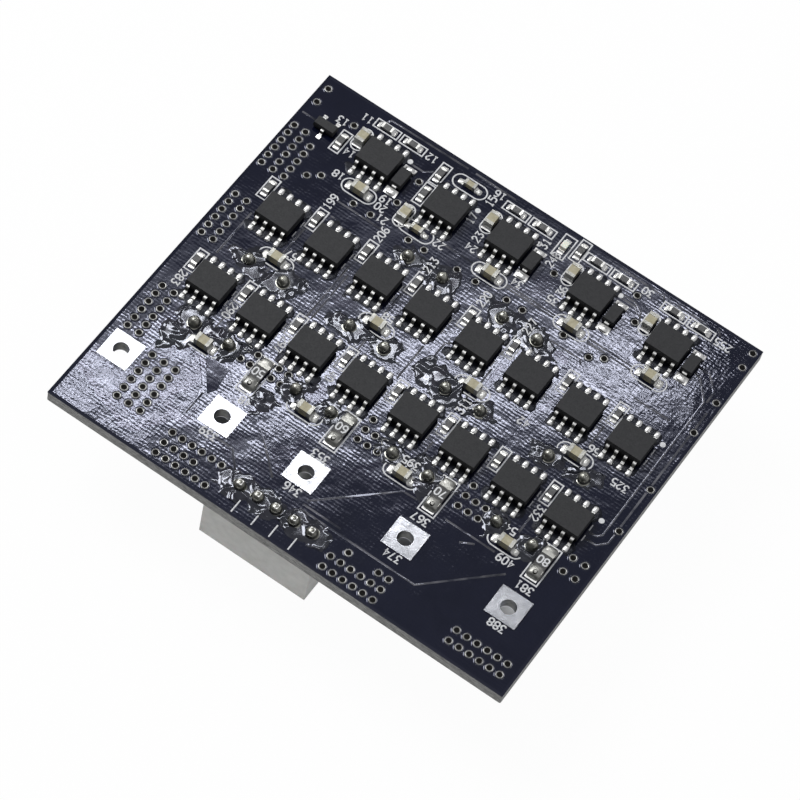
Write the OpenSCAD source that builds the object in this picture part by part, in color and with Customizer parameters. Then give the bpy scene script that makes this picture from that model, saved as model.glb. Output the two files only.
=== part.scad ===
// Battery balancer: a bare circuit board with chips on its top face, ten round capacitors and a
// plug header under it, and a row of five wire pads along its front edge.
// Millimetres, +Z up, front edge towards -Y. The board lies on its capacitors' ends, at Z = 0.

/* [Board] */
// Thickness of the board
board_t = 1.6; // [0.8:0.1:2.4]
// Radius of the board's corners
corner_r = 0.2; // [0.1:0.1:2]
// From the centres of the outer cans to the sides of the board
side_margin = 10.4; // [9.8:0.1:16]
// From the centres of the wire pads to the front edge
front_margin = 10; // [9.2:0.1:16]
// From the centres of the driver chips to the rear edge
rear_margin = 6.9; // [6.6:0.1:14]

/* [Rows] */
// From the wire pads to the shunt resistors
pad_to_shunt = 7.1; // [5:0.1:8]
// From the wire pads to the lower row of switch chips
pad_to_lower = 13.7; // [13.2:0.1:18]
// From the lower row to the upper row of switch chips
lower_to_upper = 13.1; // [12.6:0.1:18]
// From the upper row of switch chips to the driver chips
upper_to_driver = 14.3; // [13.8:0.1:20]
// Distance between switch chips in the lower row
lower_pitch = 7.3; // [6.9:0.05:7.5]
// Distance between switch chips in the upper row
upper_pitch = 7.25; // [6.9:0.05:7.5]

/* [Eight-lead chips] */
// Length of the moulded body
chip_l = 4.9; // [4.2:0.05:5.3]
// Width of the moulded body
chip_w = 3.9; // [3.2:0.05:4.2]
// Height of the moulded body
chip_h = 1.45; // [1:0.05:2]
// Gap under the moulded body
chip_lift = 0.12; // [0.05:0.01:0.3]
// How much the body narrows from its middle to its top and bottom
chip_draft = 0.08; // [0.04:0.01:0.3]
// Distance between leads
chip_lead_pitch = 1.27; // [1:0.01:1.4]
// Width of a lead
chip_lead_w = 0.42; // [0.3:0.01:0.6]
// Thickness of a lead
chip_lead_t = 0.2; // [0.1:0.01:0.25]
// Inner radius of a lead's bends
chip_bend_r = 0.15; // [0.08:0.01:0.2]
// Straight stub between the body and the first bend
chip_stub = 0.1; // [0.05:0.01:0.3]
// Flat length of a lead's foot
chip_foot = 0.45; // [0.3:0.01:0.6]

/* [Diodes and transistor] */
// Thickness of the leads
small_lead_t = 0.13; // [0.08:0.01:0.2]
// Inner radius of the leads' bends
small_bend_r = 0.08; // [0.05:0.01:0.12]
// Straight stub between a body and the first bend
small_stub = 0.1; // [0.05:0.01:0.2]
// Length of a diode's body
diode_l = 2.7; // [2:0.05:3.2]
// Width of a diode's body
diode_w = 1.6; // [1:0.05:1.8]
// Height of a diode's body
diode_h = 1.05; // [0.7:0.05:1.4]
// Width of a diode's leads
diode_lead_w = 0.6; // [0.4:0.05:0.8]
// Flat length of a diode's feet
diode_foot = 0.3; // [0.2:0.01:0.5]
// Gap between a driver chip and its diode
diode_gap = 0.4; // [0.25:0.05:0.6]

// Length of the transistor's body
transistor_l = 2.9; // [2.4:0.05:3.2]
// Width of the transistor's body
transistor_w = 1.3; // [1:0.05:1.6]
// Height of the transistor's body
transistor_h = 0.95; // [0.7:0.05:1.2]
// Distance between the transistor's paired leads
transistor_pitch = 1.9; // [1.4:0.05:2.1]
// Width of the transistor's leads
transistor_lead_w = 0.42; // [0.3:0.01:0.5]
// Flat length of the transistor's feet
transistor_foot = 0.25; // [0.15:0.01:0.4]

/* [Chip resistors] */
// Length of a small resistor
res_l = 1.6; // [1.2:0.05:2]
// Width of a small resistor
res_w = 0.8; // [0.6:0.05:1]
// Height of a small resistor
res_h = 0.45; // [0.3:0.05:0.6]
// Length of its metal ends
res_end = 0.3; // [0.15:0.05:0.4]
// Thickness of the metal on the ends of chip parts
end_t = 0.04; // [0.02:0.01:0.08]
// Gap between a switch chip and its gate resistor
gate_gap = 0.6; // [0.4:0.05:0.7]
// Length of a shunt resistor
shunt_l = 3.2; // [2.6:0.05:3.6]
// Width of a shunt resistor
shunt_w = 1.6; // [1.2:0.05:1.9]
// Height of a shunt resistor
shunt_h = 0.6; // [0.4:0.05:0.8]
// Length of its metal ends
shunt_end = 0.55; // [0.3:0.05:0.8]

/* [Chip capacitors] */
// Length of a chip capacitor
cap_l = 2; // [1.6:0.05:2.2]
// Width of a chip capacitor
cap_w = 1.25; // [0.8:0.05:1.4]
// Height of a chip capacitor
cap_h = 1.2; // [0.6:0.05:1.4]
// Length of its metal ends
cap_end = 0.45; // [0.2:0.05:0.6]
// Length of a small chip capacitor
small_cap_l = 1.6; // [1.2:0.05:1.8]
// Width of a small chip capacitor
small_cap_w = 0.8; // [0.5:0.05:0.9]
// Height of a small chip capacitor
small_cap_h = 0.8; // [0.5:0.05:0.9]
// Length of its metal ends
small_cap_end = 0.35; // [0.15:0.05:0.4]
// Gap between a driver chip and the chip capacitor at its side
cap_side_gap = 0.42; // [0.3:0.02:0.6]
// Gap between a driver chip's feet and the chip capacitor in front of them
cap_front_gap = 1.35; // [0.8:0.05:1.6]

/* [Chip light] */
// Length of the chip light
light_l = 1.6; // [1.2:0.05:2]
// Width of the chip light
light_w = 0.8; // [0.6:0.05:1]
// Thickness of its base
light_base = 0.25; // [0.15:0.05:0.4]
// Height of the clear block on its base
light_lens = 0.4; // [0.2:0.05:0.6]

/* [Wire pads] */
// Side of a square pad
pad_side = 4.2; // [3.4:0.1:4.6]
// Thickness of the tinned metal on the board
pad_t = 0.1; // [0.05:0.01:0.2]
// Diameter of the hole for the wire
pad_bore = 2; // [1.2:0.1:2.6]

/* [Round capacitors] */
// Diameter of a can
can_d = 10; // [9.2:0.1:11.5]
// Height of a can with its bung
can_h = 12; // [9:0.5:20]
// Radius of the edge at the closed end
can_edge_r = 0.7; // [0.3:0.05:1.2]
// Depth of the groove rolled into the can's wall
can_groove = 0.45; // [0.2:0.05:0.8]
// From the board to the middle of the groove
can_groove_z = 2.4; // [1.8:0.1:3]
// Width of the rim rolled over the bung
can_rim = 0.9; // [0.5:0.05:1.2]
// Radius of the rim's outer edge
can_rim_r = 0.3; // [0.1:0.05:0.5]
// Height of the bung
bung_h = 1.5; // [1.3:0.05:1.7]
// How far the bung stands out of the can
bung_out = 0.25; // [0.1:0.05:0.5]
// Distance between a capacitor's two leads
can_lead_pitch = 5; // [4.6:0.1:5.4]
// Diameter of a lead
can_lead_d = 0.6; // [0.4:0.05:0.8]
// Gap between the two middle columns of cans
can_gap_mid = 3.8; // [3.4:0.1:4.2]
// Gap between a middle and an outer column of cans
can_gap_side = 4.7; // [4.2:0.1:5.2]
// Gap between the middle and the front row of cans
can_gap_front = 1.2; // [0.9:0.1:1.5]
// Gap between the middle and the rear row of cans
can_gap_rear = 2.5; // [2:0.1:2.8]
// From the lower row of switch chips to the middle row of cans
lower_to_can = 5.8; // [5.4:0.1:6.4]

/* [Plug header] */
// Number of pins
pin_count = 5; // [2:1:7]
// Distance between pins
pin_pitch = 2.54; // [2:0.02:2.6]
// Side of a square pin
pin_side = 0.64; // [0.4:0.02:0.8]
// From the pins to the front edge of the board
pin_to_edge = 3.8; // [3.5:0.1:5]
// From the pins to the outside of the plain wall
pin_to_plain = 3.4; // [3:0.1:3.5]
// From the pins to the outside of the slotted wall
pin_to_slotted = 2.35; // [2:0.05:2.8]
// From the end pins to the outside of the end walls
pin_to_end = 2.45; // [2:0.05:3]
// Height of the housing
header_h = 7; // [5:0.1:8.5]
// Thickness of the housing's walls
header_wall = 0.85; // [0.6:0.05:1.1]
// Thickness of the housing's floor
header_floor = 1.6; // [1:0.1:2.5]
// Width of the two key slots
slot_w = 1.3; // [0.8:0.1:1.8]
// How far the pins stop short of the housing's mouth
pin_short = 1.2; // [0.6:0.1:2]

/* [Solder joints] */
// Radius of a joint at the board
joint_r = 1; // [0.75:0.05:1.1]
// Thickness of the solder at a joint's tip
joint_wall = 0.15; // [0.08:0.01:0.25]
// Height of the straight tip
joint_tip = 0.25; // [0.1:0.05:0.4]
// Thickness of a joint's rim
joint_lip = 0.06; // [0.03:0.01:0.12]
// How far a lead stands out of its joint
lead_stub = 0.25; // [0.1:0.05:0.6]
// How far the solder reaches past the foot of a lead
toe_l = 0.45; // [0.2:0.05:0.6]
// How much wider than a foot its solder is
toe_extra = 0.16; // [0.05:0.01:0.3]
// How far the solder reaches past the end of a chip part
end_toe_l = 0.38; // [0.2:0.02:0.5]
// How high the solder climbs the end of a chip part
end_toe_h = 0.36; // [0.2:0.02:0.4]
// How far the solder reaches past a shunt's end
shunt_toe_l = 1; // [0.5:0.05:1.1]
// How high the solder climbs a shunt's end
shunt_toe_h = 0.5; // [0.2:0.02:0.54]
// How far the solder reaches past a diode's foot
mound_l = 0.5; // [0.2:0.05:0.8]
// Width of the solder over a diode's foot
mound_w = 1.7; // [1:0.05:2]
// How high the solder climbs a diode's lead
mound_h = 0.4; // [0.3:0.02:0.5]
// Clearance round a lead in the board
lead_clear = 0.1; // [0.05:0.01:0.15]

/* [Via lands] */
// Outer diameter of a land
via_d = 1; // [0.6:0.05:1.1]
// Diameter of its hole
via_hole = 0.46; // [0.2:0.02:0.5]
// Thickness of a land
via_t = 0.04; // [0.02:0.01:0.08]
// Narrow distance between lands
via_pitch = 1.4; // [1.2:0.05:1.45]
// Wide distance between lands
via_wide = 1.67; // [1.3:0.01:1.7]

/* [Hidden] */
$fn = 48;
eps = 0.01;
// How far a cut runs past the faces that it cuts
cut = 1;

// Columns of cans, and the outline of the board round them
can_inner_x = (can_d + can_gap_mid) / 2;
can_outer_x = can_inner_x + can_d + can_gap_side;
column_x = [-can_outer_x, -can_inner_x, can_inner_x, can_outer_x];
chips_in_row = 8;
board_w = 2 * (can_outer_x + side_margin);
board_d = front_margin + pad_to_lower + lower_to_upper + upper_to_driver + rear_margin;
left_x = -board_w / 2;
right_x = board_w / 2;
front_y = -board_d / 2;

// Heights
board_z = can_h;
top_z = board_z + board_t;

// Rows
pad_y = front_y + front_margin;
shunt_y = pad_y + pad_to_shunt;
lower_y = pad_y + pad_to_lower;
upper_y = lower_y + lower_to_upper;
driver_y = upper_y + upper_to_driver;
can_y = lower_y + lower_to_can;
can_front_y = can_y - can_d - can_gap_front;
can_rear_y = can_y + can_d + can_gap_rear;

// A point at an offset from x and y
function from(x, y, offset) = [x + offset[0], y + offset[1]];

// Switch chips
upper_x0 = 0.6;
function upper_x(i) = upper_x0 + (i - (chips_in_row - 1) / 2) * upper_pitch;
function lower_x(i) = (i - (chips_in_row - 1) / 2) * lower_pitch;
gate_dx = chip_l / 2 + gate_gap + res_w / 2;
upper_gate_shift = [0, -0.1, 0, 0, 0.4, -0.3, 0.2, 0.1];
upper_gate_dy = 2.7;
lower_gate_dy = 1.9;

// Driver chips and what stands round each of them
driver_x = [-19.9, -0.7, 11.2, 22.4];
clock_x = -9.5;
clock_dy = -0.8;
clock_y = driver_y + clock_dy;
function lead_reach(stub, r, t, foot) = stub + 2 * r + t + foot;
chip_span = chip_w + 2 * lead_reach(chip_stub, chip_bend_r, chip_lead_t, chip_foot);
diode_span = diode_l + 2 * lead_reach(small_stub, small_bend_r, small_lead_t, diode_foot);
transistor_span = transistor_w
    + 2 * lead_reach(small_stub, small_bend_r, small_lead_t, transistor_foot);
diode_dx = chip_l / 2 + diode_gap + diode_w / 2;
diode_dy = -0.6;
side_cap_dx = -(chip_l / 2 + cap_side_gap + cap_w / 2);
side_cap_dy = 1.5;
front_cap_dx = 0.5;
front_cap_dy = -(chip_span / 2 + cap_front_gap + cap_w / 2);
rear_res_dx = [-1.9, 1.95];
rear_res_gap = 1.4;
rear_res_dy = chip_span / 2 + rear_res_gap + res_w / 2;

// Single pieces at the rear edge, at offsets from the chip that each stands beside
transistor_off = [-7.9, -0.1];
transistor_at = from(driver_x[0], driver_y, transistor_off);
light_off = [5.5, 4.2];
light_at = from(driver_x[1], driver_y, light_off);
first_res_off = [-5.35, -0.4];
last_res_off = [7.45, 4.9];
clock_res_dy = [3.4, -0.3];
single_res = [
    from(driver_x[0], driver_y, first_res_off),
    for (dy = clock_res_dy) [clock_x - gate_dx, driver_y + dy],
    from(driver_x[1], driver_y, last_res_off)
];
clock_cap_off = [-3.6, -4.4];
clock_cap = from(clock_x, driver_y, clock_cap_off);
small_cap_off = [[-1.2, -5.3], [0.4, 4.2]];
small_cap_at = [for (o = small_cap_off) from(clock_x, driver_y, o)];

// Shunts and wire pads, each beside a column of cans
shunt_dx = [7.5, 4.8, 5, 4.7];
shunt_x = [for (i = [0 : 3]) column_x[i] + shunt_dx[i]];
first_pad_dx = -7.1;
pad_x = concat([column_x[0] + first_pad_dx], shunt_x);

// Cans: rear pair, middle four, front four
can_at = [
    [column_x[1], can_rear_y],
    [column_x[2], can_rear_y],
    [column_x[0], can_y],
    [column_x[1], can_y],
    [column_x[2], can_y],
    [column_x[3], can_y],
    [column_x[0], can_front_y],
    [column_x[1], can_front_y],
    [column_x[2], can_front_y],
    [column_x[3], can_front_y]
];
mid_cap_dy = 2.1;
front_row_cap_dy = -1.7;

// Header
header_x = pad_x[2];
header_y = front_y + pin_to_edge;
pin_span = (pin_count - 1) * pin_pitch;
pin_round = pin_side * sqrt(2) / 2;
lead_tip_r = can_lead_d / 2 + joint_wall;
pin_tip_r = pin_round + joint_wall;
function joint_h(tip_r) = joint_r - tip_r + joint_lip + joint_tip;

// Lands that fit between a first one at x and the joint of the next can's lead
function joint_x(i) = column_x[i] - can_lead_pitch / 2;
function lands_to(x, i) = 1 + floor((joint_x(i) - joint_r - via_d / 2 - x) / via_pitch + eps);
shunt_side = shunt_w / 2;
shunt_land_dx = [0.7, 1.4, 1.65];
shunt_land_dy = [0.7, 0.3, 0.3];
shunt_lands = [
    for (i = [0 : 2])
        from(shunt_x[i] + shunt_side, shunt_y, [shunt_land_dx[i], shunt_land_dy[i]])
];

// Offsets of the groups of lands from the edges and rows that they stand beside
left_off = [[0.9, -9], [1.1, -7.5], [1.9, -10.5], [1.1, 2.6]];
right_off = [[-0.9, 3.4], [-0.8, -8], [-0.8, -10.5], [-8.8, 2.2]];
pair_gap = [2.5, 2.5, 5.2, 7];
pad_off = [3.3, -5.3];
header_left_off = [[-10.2, 1.35], [-10.2, 3], [-10.2, 4.7]];
header_right_off = [[3.4, 1.1], [4.8, 4.4], [9, 4.4]];
outer_shunt_off = [[-2.1, 0.7], [1.7, 0.7]];
outer_shunt_gap = 2.2;
header_left_x = header_x - pin_span / 2;
header_right_x = header_x + pin_span / 2;

// Groups of lands: first land, copies along X and Y, distances along X and Y
narrow = [via_pitch, via_pitch];
side_step = [via_wide, via_pitch];
front_step = [via_pitch, via_wide];
via_groups = [
    [from(left_x, driver_y, left_off[0]), [2, 6], side_step],
    [from(left_x + 2 * via_wide, driver_y, left_off[0]), [1, 5], side_step],
    [from(left_x, upper_y, left_off[1]), [2, 6], side_step],
    [from(left_x, lower_y, left_off[2]), [2, 6], side_step],
    [from(left_x, driver_y, left_off[3]), [1, 2], [via_pitch, pair_gap[0]]],
    [from(right_x, driver_y, right_off[0]), [1, 2], [via_pitch, pair_gap[1]]],
    [from(right_x, driver_y, right_off[1]), [1, 2], [via_pitch, pair_gap[2]]],
    [from(right_x, upper_y, right_off[2]), [1, 2], [via_pitch, pair_gap[3]]],
    [from(right_x, front_y, right_off[3]), [6, 2], front_step],
    [from(pad_x[0], pad_y, pad_off), [3, 6], side_step],
    [from(header_left_x, front_y, header_left_off[0]), [6, 1], narrow],
    [from(header_left_x, front_y, header_left_off[1]), [4, 1], narrow],
    [from(header_left_x, front_y, header_left_off[2]), [6, 1], narrow],
    [from(header_right_x, front_y, header_right_off[0]), [6, 2], front_step],
    [from(header_right_x, front_y, header_right_off[1]), [1, 1], narrow],
    [from(header_right_x, front_y, header_right_off[2]), [2, 1], narrow],
    for (i = [0 : 2]) [shunt_lands[i], [lands_to(shunt_lands[i][0], i + 1), 2], front_step],
    for (i = [1 : 2]) [from(0, 2 * via_wide, shunt_lands[i]), [1, 1], narrow],
    [from(shunt_x[0] - shunt_side, shunt_y, outer_shunt_off[0]), [2, 2], front_step],
    [from(shunt_x[3] + shunt_side, shunt_y, outer_shunt_off[1]), [2, 2], [via_wide, outer_shunt_gap]]
];

// Single lands, at offsets from the first three driver chips and from the clock chip
driver_land_off = [
    [[-5.8, -7.1], [-5.4, 2.6], [-4.4, -6], [1, -6.9], [3.55, -6.9], [5.1, -3.4], [5.5, 0.8]],
    [[-3, -6.8], [-0.3, -6.8], [4.1, -6.6], [6.4, -6.6], [6.6, 0.2]],
    [[0.3, -6.4], [4.4, -7.1], [4.4, 4], [6, -6.1], [6.2, 0.6]]
];
clock_land_off = [[-1.2, -7], [1.1, -7]];
single_lands = [
    for (i = [0 : 2])
        for (o = driver_land_off[i]) from(driver_x[i], driver_y, o),
    for (o = clock_land_off) from(clock_x, driver_y, o)
];

// Shared shapes

// Outline of the board
module board_outline() {
    square([board_w - 2 * corner_r, board_d], center = true);
    square([board_w, board_d - 2 * corner_r], center = true);
    for (x = [left_x + corner_r, right_x - corner_r])
        for (y = [front_y + corner_r, -front_y - corner_r])
            translate([x, y]) circle(corner_r);
}

// Side view of a moulded body: straight at its parting line, drafted above and below
module moulded_side(len, z, h, draft, band) {
    a = len / 2;
    m = z + h / 2;
    polygon([
        [draft - a, z], [a - draft, z], [a, m - band / 2], [a, m + band / 2],
        [a - draft, z + h], [draft - a, z + h], [-a, m + band / 2], [-a, m - band / 2]
    ]);
}

// Moulded body drafted on all four sides
module moulded_body(l, w, h, lift, draft, band) {
    intersection() {
        rotate([90, 0, 0])
            linear_extrude(w + cut, center = true) moulded_side(l, lift, h, draft, band);
        rotate([90, 0, 90])
            linear_extrude(l + cut, center = true) moulded_side(w, lift, h, draft, band);
    }
}

// Quarter of a bent strip: inner radius r, thickness t, towards +X and +Y
module bend(r, t) {
    intersection() {
        difference() {
            circle(r + t);
            circle(r);
        }
        square(r + t);
    }
}

// Side view of a gull-wing lead that leaves the body at x and height z
module gull_side(x, z, t, r, stub, foot) {
    leg = x + stub + r;
    translate([x, z - t / 2]) square([stub, t]);
    translate([x + stub, z - t / 2 - r]) bend(r, t);
    translate([leg, t + r]) square([t, z - t / 2 - r - t - r]);
    translate([leg + t + r, t + r]) rotate(180) bend(r, t);
    translate([leg + t + r, 0]) square([foot, t]);
}

// Gull-wing lead towards +Y, centred on X
module gull_lead(body_w, z, w, t, r, stub, foot) {
    rotate([90, 0, 90])
        linear_extrude(w, center = true) gull_side(body_w / 2, z, t, r, stub, foot);
}

// Eight-lead chip: body and leads
module chip_body() {
    moulded_body(chip_l, chip_w, chip_h, chip_lift, chip_draft, chip_lead_t);
}

module chip_leads() {
    for (side = [0, 180])
        rotate(side)
            for (i = [-1.5 : 1.5])
                translate([i * chip_lead_pitch, 0, 0])
                    gull_lead(chip_w, chip_lift + chip_h / 2, chip_lead_w, chip_lead_t, chip_bend_r,
                        chip_stub, chip_foot);
}

// Solder that slopes from the end of a foot or a chip part, at x, down to the board
module toe(x, w, l, h) {
    rise = h - joint_lip;
    r = (l * l + rise * rise) / (2 * rise);
    translate([x, 0, 0])
        rotate([90, 0, 0])
            linear_extrude(w, center = true)
                difference() {
                    square([l, h]);
                    translate([l, joint_lip + r]) circle(r, $fn = 96);
                }
}

module toe_pair(span, w, l, h) {
    for (side = [0, 180])
        rotate(side) toe(span / 2, w, l, h);
}

module chip_toes() {
    for (i = [-1.5 : 1.5])
        translate([i * chip_lead_pitch, 0, 0])
            rotate(90) toe_pair(chip_span, chip_lead_w + toe_extra, toe_l, chip_lead_t);
}

// Block of a chip resistor, along X, between the plates of its metal ends
module resistor_block(l, w, h) {
    translate([-l / 2 + end_t, -w / 2, end_t]) cube([l - 2 * end_t, w, h - 2 * end_t]);
}

// Metal ends of a chip resistor: each wraps the top, the end and the bottom
module resistor_ends(l, w, h, e) {
    for (side = [0, 180])
        rotate(side)
            rotate([90, 0, 0])
                linear_extrude(w, center = true)
                    difference() {
                        translate([l / 2 - e, 0]) square([e, h]);
                        translate([l / 2 - e - eps, end_t]) square([e - end_t + eps, h - 2 * end_t]);
                    }
}

// Block of a chip capacitor, along X
module capacitor_block(l, w, h) {
    translate([end_t - l / 2, end_t - w / 2, end_t])
        cube([l - 2 * end_t, w - 2 * end_t, h - 2 * end_t]);
}

// Metal ends of a chip capacitor: each is a cap over five faces
module capacitor_ends(l, w, h, e) {
    for (side = [0, 180])
        rotate(side)
            difference() {
                translate([l / 2 - e, -w / 2, 0]) cube([e, w, h]);
                translate([l / 2 - e - eps, end_t - w / 2, end_t])
                    cube([e - end_t + eps, w - 2 * end_t, h - 2 * end_t]);
            }
}

// Places

// Copies its child at each switch chip of a row
module at_upper(i) {
    translate([upper_x(i), upper_y, top_z]) children();
}

module at_lower(i) {
    translate([lower_x(i), lower_y, top_z]) children();
}

module at_driver(i) {
    translate([driver_x[i], driver_y, top_z]) children();
}

module at_clock() {
    translate([clock_x, clock_y, top_z]) children();
}

module at_diode(i) {
    translate([driver_x[i] + diode_dx, driver_y + diode_dy, top_z]) rotate(90) children();
}

module at_shunt(i) {
    translate([shunt_x[i], shunt_y, top_z]) rotate(90) children();
}

// Copies its child at each small resistor, laid along X
module at_resistors() {
    for (i = [0 : chips_in_row - 1]) {
        translate([upper_x(i) - gate_dx + upper_gate_shift[i], upper_y + upper_gate_dy, top_z])
            rotate(90) children();
        translate([lower_x(i) - gate_dx, lower_y + lower_gate_dy, top_z]) rotate(90) children();
    }
    for (x = driver_x)
        for (dx = rear_res_dx)
            translate([x + dx, driver_y + rear_res_dy, top_z]) children();
    for (p = single_res)
        translate([p[0], p[1], top_z]) rotate(90) children();
}

// Copies its child at each large chip capacitor, laid along X
module at_capacitors() {
    for (x = driver_x) {
        translate([x + side_cap_dx, driver_y + side_cap_dy, top_z]) rotate(90) children();
        translate([x + front_cap_dx, driver_y + front_cap_dy, top_z]) children();
    }
    translate([clock_cap[0], clock_cap[1], top_z]) rotate(90) children();
    for (x = column_x) {
        translate([x, can_y + mid_cap_dy, top_z]) children();
        translate([x, can_front_y + front_row_cap_dy, top_z]) children();
    }
}

module at_small_capacitors() {
    for (p = small_cap_at)
        translate([p[0], p[1], top_z]) children();
}

// Copies its child at each capacitor lead, and at each header pin
module at_can_leads(z) {
    for (p = can_at)
        for (dx = [-can_lead_pitch / 2, can_lead_pitch / 2])
            translate([p[0] + dx, p[1], z]) children();
}

module at_pins(z) {
    for (i = [0 : pin_count - 1])
        translate([header_x - pin_span / 2 + i * pin_pitch, header_y, z]) children();
}

module at_pads(z) {
    for (x = pad_x)
        translate([x, pad_y, z]) children();
}

// Nodes

module circuit_board() {
    color("#1d2130")
        difference() {
            translate([0, 0, board_z]) linear_extrude(board_t) board_outline();
            at_pads(board_z - cut) cylinder(h = board_t + 2 * cut, r = pad_bore / 2);
            at_can_leads(board_z - cut)
                cylinder(h = board_t + 2 * cut, r = can_lead_d / 2 + lead_clear);
            at_pins(board_z - cut) cylinder(h = board_t + 2 * cut, r = pin_round + lead_clear);
        }
}

module via_land() {
    difference() {
        cylinder(h = via_t, r = via_d / 2);
        translate([0, 0, -cut]) cylinder(h = via_t + 2 * cut, r = via_hole / 2);
    }
}

module via_lands() {
    color("#4a5162") {
        for (g = via_groups)
            for (i = [0 : g[1][0] - 1])
                for (j = [0 : g[1][1] - 1])
                    translate([g[0][0] + i * g[2][0], g[0][1] + j * g[2][1], top_z]) via_land();
        for (p = single_lands)
            translate([p[0], p[1], top_z]) via_land();
    }
}

// Square lands on both faces of the board, round the holes for the wires
module wire_pads() {
    color("#d9d9d6")
        for (z = [board_z - pad_t, top_z])
            at_pads(z)
                difference() {
                    translate([-pad_side / 2, -pad_side / 2, 0]) cube([pad_side, pad_side, pad_t]);
                    translate([0, 0, -cut]) cylinder(h = pad_t + 2 * cut, r = pad_bore / 2);
                }
}

// Housing with its mouth down, a plain wall in front and two key slots in the rear wall
module header_housing() {
    len = pin_span + 2 * pin_to_end;
    dep = pin_to_plain + pin_to_slotted;
    slot_x = len / 2 - header_wall - slot_w;
    color("#d8d7cf")
        translate([header_x, header_y, board_z - header_h])
            difference() {
                translate([-len / 2, -pin_to_plain, 0]) cube([len, dep, header_h]);
                translate([header_wall - len / 2, header_wall - pin_to_plain, -cut])
                    cube([len - 2 * header_wall, dep - 2 * header_wall, header_h - header_floor + cut]);
                for (x = [-slot_x, slot_x])
                    translate([x - slot_w / 2, pin_to_slotted - header_wall - cut, -cut])
                        cube([slot_w, header_wall + 2 * cut, header_h - header_floor + cut]);
                for (i = [0 : pin_count - 1])
                    translate([i * pin_pitch - pin_span / 2 - pin_side / 2, -pin_side / 2, -cut])
                        cube([pin_side, pin_side, header_h + 2 * cut]);
            }
}

// Side view of a pin with a tapered point at its lower end
module pin_side_view(len) {
    a = pin_side / 2;
    polygon([[-a / 2, 0], [a / 2, 0], [a, pin_side], [a, len], [-a, len], [-a, pin_side]]);
}

module header_pins() {
    low = board_z - header_h + pin_short;
    len = top_z + joint_h(pin_tip_r) + lead_stub - low;
    color("#c9c6b8")
        at_pins(low)
            intersection() {
                rotate([90, 0, 0]) linear_extrude(pin_side + cut, center = true) pin_side_view(len);
                rotate([90, 0, 90]) linear_extrude(pin_side + cut, center = true) pin_side_view(len);
            }
}

// Solder cone with a hollow flank, as a turned profile
module joint_cone(tip_r) {
    r = joint_r - tip_r;
    rotate_extrude() {
        difference() {
            square([joint_r, r + joint_lip]);
            translate([joint_r, r + joint_lip]) circle(r);
        }
        square([tip_r, joint_h(tip_r)]);
    }
}

module solder_joints() {
    color("#b9bab6") {
        at_can_leads(top_z)
            difference() {
                joint_cone(lead_tip_r);
                translate([0, 0, -cut])
                    cylinder(h = joint_h(lead_tip_r) + 2 * cut, r = can_lead_d / 2);
            }
        at_pins(top_z)
            difference() {
                joint_cone(pin_tip_r);
                translate([-pin_side / 2, -pin_side / 2, -cut])
                    cube([pin_side, pin_side, joint_h(pin_tip_r) + 2 * cut]);
            }
    }
}

module solder_toes() {
    color("#c3c4c2") {
        for (i = [0 : chips_in_row - 1]) {
            at_upper(i) chip_toes();
            at_lower(i) chip_toes();
        }
        for (i = [0 : 3]) {
            at_driver(i) chip_toes();
            at_diode(i)
                for (side = [0, 180])
                    rotate(side) diode_mound();
            at_shunt(i) toe_pair(shunt_l, shunt_w, shunt_toe_l, shunt_toe_h);
        }
        at_clock() chip_toes();
        translate([transistor_at[0], transistor_at[1], top_z]) {
            for (x = [-transistor_pitch / 2, transistor_pitch / 2])
                translate([x, 0, 0]) rotate(90) transistor_toe();
            rotate(270) transistor_toe();
        }
        at_resistors() toe_pair(res_l, res_w, end_toe_l, end_toe_h);
        at_capacitors() toe_pair(cap_l, cap_w, end_toe_l, end_toe_h);
        at_small_capacitors() toe_pair(small_cap_l, small_cap_w, end_toe_l, end_toe_h);
        translate([light_at[0], light_at[1], top_z])
            rotate(90) toe_pair(light_l, light_w, end_toe_l, light_base);
    }
}

module transistor_toe() {
    toe(transistor_span / 2, transistor_lead_w + toe_extra, toe_l, small_lead_t);
}

// Can with its closed end down: rounded edge, rolled groove, and a rim rolled over the bung
module can(i) {
    r = can_d / 2;
    h = can_h - bung_out;
    color("#c4c6c8")
        translate([can_at[i][0], can_at[i][1], 0])
            difference() {
                rotate_extrude()
                    difference() {
                        union() {
                            square([r - can_edge_r, h]);
                            translate([0, can_edge_r]) square([r, h - can_edge_r - can_rim_r]);
                            translate([r - can_edge_r, can_edge_r]) circle(can_edge_r);
                            translate([r - can_rim_r, h - can_rim_r]) circle(can_rim_r);
                            square([r - can_rim_r, h]);
                        }
                        translate([r + can_groove / 2, can_h - can_groove_z]) circle(1.5 * can_groove);
                        translate([r - can_edge_r, -cut]) square([can_edge_r + cut, cut]);
                    }
                translate([0, 0, can_h - bung_h]) cylinder(h = bung_h + cut, r = r - can_rim);
            }
}

module can_bungs() {
    color("#2a2a2a")
        for (p = can_at)
            translate([p[0], p[1], can_h - bung_h])
                difference() {
                    cylinder(h = bung_h, r = can_d / 2 - can_rim);
                    for (dx = [-can_lead_pitch / 2, can_lead_pitch / 2])
                        translate([dx, 0, -cut]) cylinder(h = bung_h + 2 * cut, r = can_lead_d / 2);
                }
}

module can_leads() {
    color("#c9c9c4")
        at_can_leads(can_h - bung_h)
            cylinder(h = bung_h + board_t + joint_h(lead_tip_r) + lead_stub, r = can_lead_d / 2);
}

module driver(i) {
    color("#2f3033") at_driver(i) chip_body();
}

module clock_chip() {
    color("#2f3033") at_clock() chip_body();
}

module driver_leads() {
    color("#cfd0cf") {
        for (i = [0 : 3])
            at_driver(i) chip_leads();
        at_clock() chip_leads();
    }
}

module upper_switch(i) {
    color("#333437") at_upper(i) chip_body();
}

module lower_switch(i) {
    color("#333437") at_lower(i) chip_body();
}

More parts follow.
